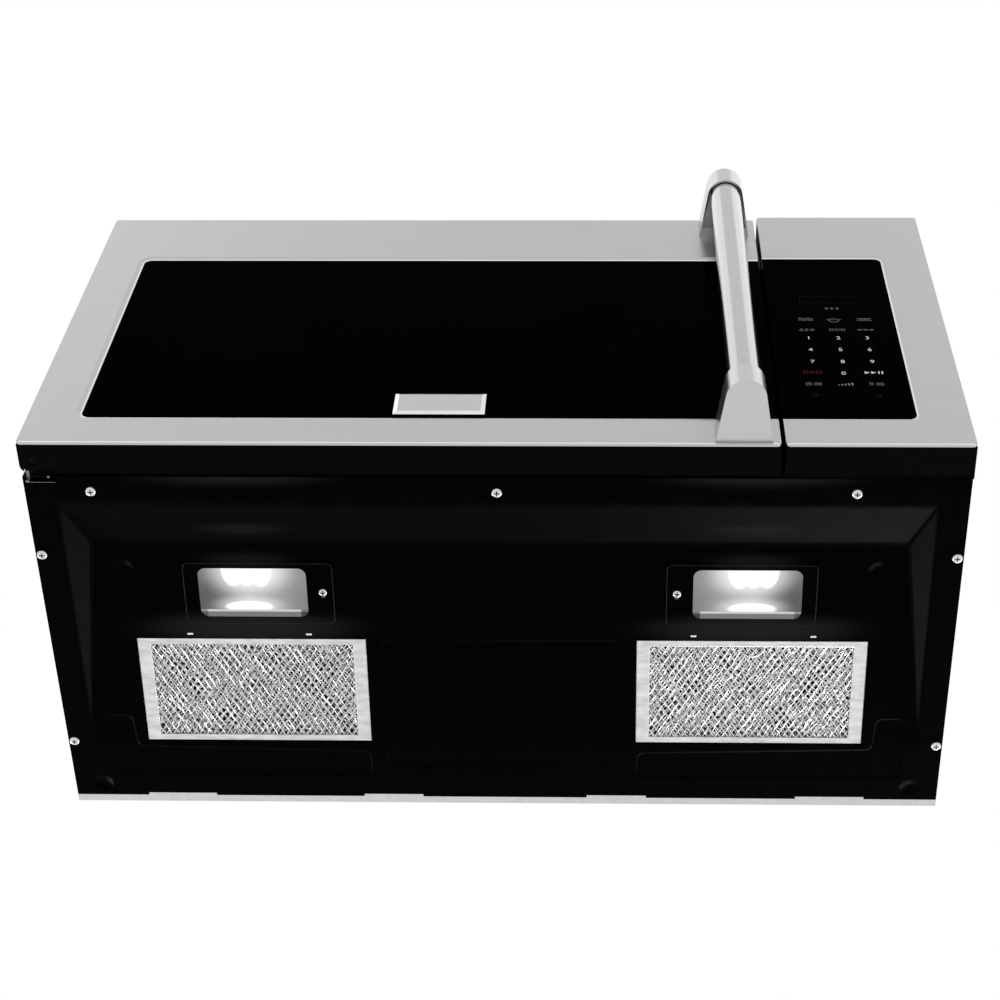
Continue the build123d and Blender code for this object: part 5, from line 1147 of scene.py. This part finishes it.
class MakeLenses(bpy.types.Operator):
    """Make the two lit lamp lenses"""
    bl_idname = "microwave.lamp_lenses"
    bl_label = "Lamp lenses"

    def execute(self, context):
        for name, side in SIDES.items():
            points, faces = sided(lens_part(context.scene.microwave_base.lens_crown), side)
            mesh = mesh_of(f"lit_lens_{name}", points, faces)
            piece(f"lit_lens_{name}", mesh, f"lamp_{name}", "lamp_lens", stands_for=(f"lamp_lens_{name}",))
        return {"FINISHED"}


class MakeLampDetails(bpy.types.Operator):
    """Make the lamp plates' rims, the seats behind their screws and the catches in the tab slots"""
    bl_idname = "microwave.lamp_details"
    bl_label = "Lamp details"

    def execute(self, context):
        # Painted highlight on the rolled rim: a thin grey line round the plate, a little lighter than the enamel.
        rim_highlight = finish(
            "painted_highlight_on_plate_rim", "2A2A2A", 0.40, metallic=1.0,
            tone=("noise", (9, 9, 9), "1E1E1E", 0.10), relief=("noise", (3, 3, 3), 0.005))
        # Zinc coated sheet with painted shade: darker, as it lies in the shade of the plate.
        plate_shaded_zinc = finish(
            "shaded_zinc_sheet", "606162", 0.45, metallic=1.0,
            tone=("noise", (4, 4, 4), "505152", 0.10), relief=("noise", (2, 2, 2), 0.005))
        # Sheared zinc coated sheet, clean and bright.
        bright = finish(
            "sheared_zinc_sheet", "EEEEEE", 0.30, metallic=1.0,
            tone=("noise", (3, 3, 3), "DCDDDE", 0.08), relief=("noise", (1.2, 1.2, 1.2), 0.004))
        x, along = PLATE_SCREW
        for name, side in SIDES.items():
            rim = mesh_of(f"lamp_plate_rim_{name}", *sided(plate_rim_part(), side))
            piece(f"lamp_plate_rim_{name}", outward(rim), f"lamp_{name}", "base_paint", rim_highlight)
            seat = mesh_of(f"lamp_seat_{name}", *sided(
                slope_box((x - 3.4, x + 3.4), (along + 2.6, along + 8.6), (-0.25, -0.02)), side))
            piece(f"lamp_seat_{name}", seat, "case", "galvanised", plate_shaded_zinc)
            parts = [slope_box((i - 2.4, i + 2.4), (TAB_ALONG - 0.8, TAB_ALONG + 0.8), (0.15, 0.75)) for i in TAB_SLOTS]
            mesh = mesh_of(f"lamp_catches_{name}", *joined([sided(part, side) for part in parts]))
            piece(f"lamp_catches_{name}", mesh, "case", "galvanised", bright)
        return {"FINISHED"}


class MakeSkinEdges(bpy.types.Operator):
    """Make the painted highlights along the stainless skins' edges: round the glass and along the bottom"""
    bl_idname = "microwave.skin_edges"
    bl_label = "Skin edges"

    def execute(self, context):
        # Painted highlights on the sheet's edges: brighter than its brushed face.
        edge = finish(
            "painted_skin_edge_highlight", "E2E2E2", 0.22, metallic=1.0,
            tone=("noise", (40, 4, 4), "DADADA", 0.05), relief=("noise", (30, 3, 3), 0.003))
        for name, body in (("door", "door"), ("panel", "case")):
            left, right = SKIN_SPANS[name]
            foot = box_part(plain_place, (left + 1.8, right - 1.8), (-0.05, 0.1), (SKIN_LOW + 0.3, SKIN_LOW + 2.2))
            mesh = mesh_of(f"skin_edges_{name}", *joined([lip_edge_part(*WINDOWS[name]), foot]))
            piece(f"skin_edges_{name}", outward(mesh), body, "stainless", edge)
        return {"FINISHED"}


class MakeSmallDetails(bpy.types.Operator):
    """Make the shade in the screws' recesses and the bright grey strips along the lower hinge's edges"""
    bl_idname = "microwave.small_details"
    bl_label = "Screw recesses and hinge edges"

    def execute(self, context):
        # The bottom of a cross recess, where no light reaches.
        shade = finish(
            "shade_of_a_screw_recess", "050505", 0.7, specular=0.02, tone=("noise", (2, 2, 2), "080808", 0.05))
        low, high = (SCREW_FACE + depth for depth in RECESS_DEPTH)
        parts = [prism_part(plain_place, middle, 2.4, (low, high)) for middle in underside_screws()]
        piece("case_screw_recesses", mesh_of("case_screw_recesses", *joined(parts)), "case", "screw_zinc", shade)
        face = PLATE_FACE - LAMP_HEAD_HEIGHT
        for name, side in SIDES.items():
            part = prism_part(on_slope, PLATE_SCREW, 1.9, (face + RECESS_DEPTH[0], face + RECESS_DEPTH[1]))
            mesh = mesh_of(f"lamp_screw_recess_{name}", *sided(part, side))
            piece(f"lamp_screw_recess_{name}", mesh, f"lamp_{name}", "screw_zinc", shade)
        # Sawn and sheared steel, left bare where the paint stops.
        # Bright grey metal strips along the edges of the lower hinge bracket.
        hinge_strip_grey = finish(
            "bright_grey_hinge_strips", "9A9A9A", 0.36, metallic=1.0,
            tone=("noise", (3, 3, 3), "858585", 0.08), relief=("noise", (1.5, 1.5, 1.5), 0.006))
        strap = HINGE_STRAP_FACE
        parts = [
            box_part(plain_place, (-376.3, -373.6), (28.2, 35.2), (strap - 0.15, strap)),
            box_part(plain_place, (-376.3, -373.6), (35.3, 36.5), (0.2, 4.5)),
            box_part(plain_place, (-376.3, -352.6), (36.6, 36.95), (0.2, 0.8)),
            box_part(plain_place, (-359.6, -357.6), (33.1, 35.1), (strap - 0.15, strap)),
        ]
        piece("hinge_bright_strips", mesh_of("hinge_bright_strips", *joined(parts)), "case", "case_paint", hinge_strip_grey)
        return {"FINISHED"}


class MakeFilters(bpy.types.Operator):
    """Make the two grease filters: folded frame, foil strands and pull ring"""
    bl_idname = "microwave.grease_filters"
    bl_label = "Grease filters"

    def execute(self, context):
        sizes = context.scene.microwave_filter
        tree, foil, shade = foil_tree(), foil_material(), foil_backing()
        half_x = FILTER_HALF[0] - FILTER_BORDER[0] + 1.0
        half_a = FILTER_HALF[1] - FILTER_BORDER[1] + 1.0
        for name, side in SIDES.items():
            body = f"filter_{name}"
            parts = [sided(filter_frame_part(), side), sided(finger_ring_part(), side)]
            frame_mesh = mesh_of(f"filter_frame_{name}", *joined(parts))
            piece(f"filter_frame_{name}", frame_mesh, body, "filter_mesh", stands_for=(f"grease_filter_{name}",))
            pad = sided(slope_box(
                (FILTER_MIDDLE[0] - half_x + 0.5, FILTER_MIDDLE[0] + half_x - 0.5),
                (FILTER_MIDDLE[1] - half_a + 0.5, FILTER_MIDDLE[1] + half_a - 0.5), FILTER_BACKING), side)
            piece(f"filter_backing_{name}", mesh_of(f"filter_backing_{name}", *pad), body, "filter_mesh", shade)
            # The last layer lies on the backing's other side and faces the duct.
            heights = [FILTER_SPAN[0] + 1.2 + 1.0 * layer for layer in range(sizes.layers)] + [FILTER_SPAN[1] - 1.5]
            layers = []
            for layer, middle in enumerate(heights):
                # Each layer's diamonds differ a little, so that no two layers lie on each other.
                stretch = 1.0 + 0.12 * ((layer * 2) % 5 - 2) / 2
                mesh = baked("foil_layer", tree, {
                    "Width": 2 * half_x * MM, "Length": 2 * half_a * MM, "Cell Width": sizes.cell[0] * stretch,
                    "Cell Length": sizes.cell[1] / stretch, "Strand": sizes.strand, "Crumple": sizes.crumple,
                    "Seed": sizes.seed + 10 * layer + side, "Material": foil,
                })
                duct_side = middle > FILTER_BACKING[1]
                lowest = FILTER_BACKING[1] + 0.1 if duct_side else FILTER_SPAN[0] + 0.3
                highest = FILTER_SPAN[1] - 0.4 if duct_side else FILTER_BACKING[0] - 0.1
                points = []
                for vertex in mesh.vertices:
                    spot = vertex.co / MM
                    x = side * (FILTER_MIDDLE[0] - max(min(spot.x, half_x), -half_x))
                    along = max(min(spot.y, half_a), -half_a) + FILTER_MIDDLE[1]
                    points.append(on_slope(x, along, max(min(spot.z + middle, highest), lowest)))
                turn = side > 0
                layers.append((points, [tuple(polygon.vertices)[::-1 if turn else 1] for polygon in mesh.polygons]))
                bpy.data.meshes.remove(mesh)
            mesh = mesh_of(f"filter_foil_{name}", *joined(layers))
            piece(f"filter_foil_{name}", mesh, body, "filter_mesh", foil)
        return {"FINISHED"}


class MakeScreen(bpy.types.Operator):
    """Make the holes of the door's screen, which show when the door is open"""
    bl_idname = "microwave.door_screen"
    bl_label = "Door screen"

    def execute(self, context):
        sizes = context.scene.microwave_front
        hole = finish("shade_of_a_small_hole", "010101", 0.8, specular=0.02, tone=("noise", (5, 5, 5), "020202", 0.05))
        pitch = sizes.hole_pitch / MM
        columns, rows = int(436 / pitch), int(186 / (pitch * ROW_RISE))
        mesh = baked("door_screen_holes", dot_tree(), {
            "Columns": columns, "Rows": rows, "Pitch": sizes.hole_pitch, "Radius": sizes.hole_radius,
            "Material": hole,
        })
        # The field lies on the pan's rear face and faces the cavity.
        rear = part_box("door_choke")[1].y + 0.03 * MM
        mesh.transform(Matrix.Translation((-0.072, rear, 0.196)) @ Matrix.Rotation(-pi / 2, 4, "X"))
        piece("door_screen_holes", mesh, "door", "door_paint", hole)
        return {"FINISHED"}


class MakeKeypad(bpy.types.Operator):
    """Print the digits and plain signs on the control panel's glass"""
    bl_idname = "microwave.keypad"
    bl_label = "Keypad"

    def execute(self, context):
        white = ink("white_ceramic_ink", "DCDCDC")
        inks = {"white": white, "soft": ink("grey_ceramic_ink", "828282"), "red": ink("red_ceramic_ink", "54060A"),
                "faint": ink("faint_grey_ink", "0A0A0A")}
        mesh = printed("keypad_digits", digit_parts(context.scene.microwave_front.digit_height), white)
        piece("keypad_digits", mesh, "case", "black_glass", white)
        for shade, material in inks.items():
            parts = []
            for across, height, colour, shapes in signs():
                if colour == shade:
                    parts += shifted(shapes, across, height)
            if parts:
                mesh = printed(f"keypad_signs_{shade}", parts, material)
                piece(f"keypad_signs_{shade}", mesh, "case", "black_glass", material)
        return {"FINISHED"}


class MakeNameplate(bpy.types.Operator):
    """Make the blank bevelled nameplate"""
    bl_idname = "microwave.nameplate"
    bl_label = "Nameplate"

    def execute(self, context):
        # The bevel of the plate is polished: brighter than the brushed field.
        bevel = finish(
            "polished_nickel_bevel", "E6E6E6", 0.18, metallic=1.0,
            tone=("noise", (20, 4, 4), "DEDEDE", 0.04), relief=("noise", (20, 3, 3), 0.003))
        mesh = plate_mesh(context.scene.microwave_front.border, FINISHES["nameplate"], bevel)
        piece("blank_nameplate", mesh, "door", "nameplate", stands_for=("nameplate",))
        return {"FINISHED"}


def wide_light(name, size, place, target, radiance, turn=0.0):
    """A rectangular light of a given radiance that faces a target, turned about its own axis."""
    data = bpy.data.lights.new(name, "AREA")
    data.shape, data.size, data.size_y = "RECTANGLE", *size
    data.energy = radiance * size[0] * size[1] * pi
    lamp = bpy.data.objects.new(name, data)
    bpy.context.scene.collection.objects.link(lamp)
    lamp.location = place
    aim = (Vector(target) - Vector(place)).to_track_quat("-Z", "Y")
    lamp.rotation_euler = (aim @ Quaternion((0, 0, 1), turn)).to_euler()
    lamp.visible_camera = False
    return lamp


def whiten_reflections(material):
    """Plain white as metal and glass see it; the camera still sees the floor with the object's shadow."""
    tree = material.node_tree
    out = next(node for node in tree.nodes if node.type == "OUTPUT_MATERIAL")
    shaded = out.inputs["Surface"].links[0].from_socket
    path = add(tree, "ShaderNodeLightPath").outputs
    seen = add(tree, "ShaderNodeMath", {0: path["Is Glossy Ray"], 1: path["Is Transmission Ray"]}, operation="MAXIMUM")
    white = add(tree, "ShaderNodeEmission", {"Color": linear("FFFFFF"), "Strength": 1.0})
    mixed = add(tree, "ShaderNodeMixShader", {0: seen.outputs["Value"], 1: shaded, 2: white.outputs["Emission"]})
    tree.links.new(mixed.outputs["Shader"], out.inputs["Surface"])
    # Sampled as a lamp, the floor would be counted as dark, because no lamp's ray is a glossy one.
    material.cycles.emission_sampling = "NONE"


class SetStage(bpy.types.Operator):
    """Set the camera, the lights, the pale background and the floor"""
    bl_idname = "microwave.stage"
    bl_label = "Stage"

    def execute(self, context):
        scene, light = context.scene, context.scene.microwave_stage
        camera = bpy.data.objects.new("camera", bpy.data.cameras.new("camera"))
        scene.collection.objects.link(camera)
        scene.camera = camera
        camera.data.lens, camera.data.sensor_width = 75.84, 36.0
        camera.data.shift_x, camera.data.shift_y = -0.05963, 0.02901
        right = Vector((0.9997297, 0.0094960, 0.0212211))
        down = Vector((0.0037810, 0.8342190, -0.5514203))
        forward = Vector((-0.0229394, 0.5513515, 0.8339576))
        turn = Matrix((right, -down, -forward)).transposed()
        camera.matrix_world = Matrix.Translation((0.08986, -1.22809, -1.41822)) @ turn.to_4x4()

        world = bpy.data.worlds.new("pale_studio")
        scene.world = world
        world.use_nodes = True
        tree = world.node_tree
        tree.nodes.clear()
        path = add(tree, "ShaderNodeLightPath").outputs
        seen = add(tree, "ShaderNodeMath", {0: path["Is Camera Ray"], 1: path["Is Glossy Ray"]}, operation="ADD")
        seen = add(tree, "ShaderNodeMath", {0: seen.outputs[0], 1: path["Is Transmission Ray"]}, operation="ADD")
        strength = add(
            tree, "ShaderNodeMapRange",
            {"Value": seen.outputs[0], "To Min": light.sky, "To Max": 1.0})
        pale = add(tree, "ShaderNodeBackground", {"Color": linear("FFFFFF"), "Strength": strength.outputs["Result"]})
        add(tree, "ShaderNodeOutputWorld", {"Surface": pale.outputs["Background"]})

        # Two square panels overhead, corner to corner above the handle, give its bar a quieter middle stripe.
        bar_x, corner = 0.197, 1.5 * 2 ** 0.5
        for name, side in SIDES.items():
            spot = (bar_x + side * corner, -0.41, 3.0)
            wide_light(f"ceiling_panel_{name}", (3.0, 3.0), spot, (spot[0], spot[1], 0), light.sides, pi / 4)
        # Three small lights behind the wall draw the pocket's bevels; the panel on the wall's side is kept out of them.
        kept_out = bpy.data.collections.new("kept_out_of_bevel_lights")
        kept_out.objects.link(frame["nodes"]["rear_panel"])
        kept_out.collection_objects[0].light_linking.link_state = "EXCLUDE"
        for name, size, place, target, radiance in (
            ("bevel_light_right", (0.7, 0.7), (1.55, 1.30, -0.70), (-0.35, -0.17, 0.0), 12.0),
            ("bevel_light_left", (0.7, 0.7), (-1.60, 1.35, -0.48), (0.35, -0.17, 0.0), 12.0),
            ("bevel_light_rear", (1.1, 0.5), (0.95, 2.60, -0.85), (0.25, -0.29, 0.0), 13.0),
        ):
            wide_light(name, size, place, target, radiance).light_linking.receiver_collection = kept_out

        half, level = 9.0, -2.6
        corners = [(-half, -half, level), (half, -half, level), (half, half, level), (-half, half, level)]
        mesh = mesh_of("floor", corners, [(0, 1, 2, 3)])
        pale_floor = finish(
            "pale_studio_floor", "F4F4F4", 0.9, specular=0.1, tone=("noise", (300, 300, 300), "F6F6F6", 0.02))
        whiten_reflections(pale_floor)
        mesh.materials.append(pale_floor)
        floor = bpy.data.objects.new("floor", mesh)
        scene.collection.objects.link(floor)

        scene.view_settings.view_transform = "Standard"
        return {"FINISHED"}


class MicrowavePanel(bpy.types.Panel):
    """Lists the operators and their settings"""
    bl_idname = "VIEW3D_PT_microwave"
    bl_label = "Microwave"
    bl_space_type = "VIEW_3D"
    bl_region_type = "UI"
    bl_category = "Microwave"

    def draw(self, context):
        for name, operators in STEPS:
            box = self.layout.box()
            settings = getattr(context.scene, name)
            for key in settings.__annotations__:
                box.prop(settings, key)
            for operator in operators:
                box.operator(operator.bl_idname)


STEPS = (
    ("microwave_finish", (DressFrame,)),
    ("microwave_base", (MakeBasePanel, MakeLenses, MakeLampDetails, MakeSmallDetails)),
    ("microwave_filter", (MakeFilters,)),
    ("microwave_front", (MakeScreen, MakeKeypad, MakeNameplate, MakeSkinEdges)),
    ("microwave_stage", (SetStage,)),
)
SETTINGS = {
    "microwave_finish": FinishSettings,
    "microwave_base": BaseSettings,
    "microwave_filter": FilterSettings,
    "microwave_front": FrontSettings,
    "microwave_stage": StageSettings,
}
CLASSES = (*SETTINGS.values(), *(operator for _, operators in STEPS for operator in operators), MicrowavePanel)


def register():
    for kind in CLASSES:
        bpy.utils.register_class(kind)
    for name, kind in SETTINGS.items():
        setattr(bpy.types.Scene, name, PointerProperty(type=kind))


def unregister():
    for name in SETTINGS:
        delattr(bpy.types.Scene, name)
    for kind in reversed(CLASSES):
        bpy.utils.unregister_class(kind)


def main():
    """Register the add-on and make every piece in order."""
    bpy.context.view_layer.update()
    register()
    for _, operators in STEPS:
        for operator in operators:
            group, name = operator.bl_idname.split(".")
            getattr(getattr(bpy.ops, group), name)()
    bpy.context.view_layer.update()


if __name__ == "__main__":
    main()
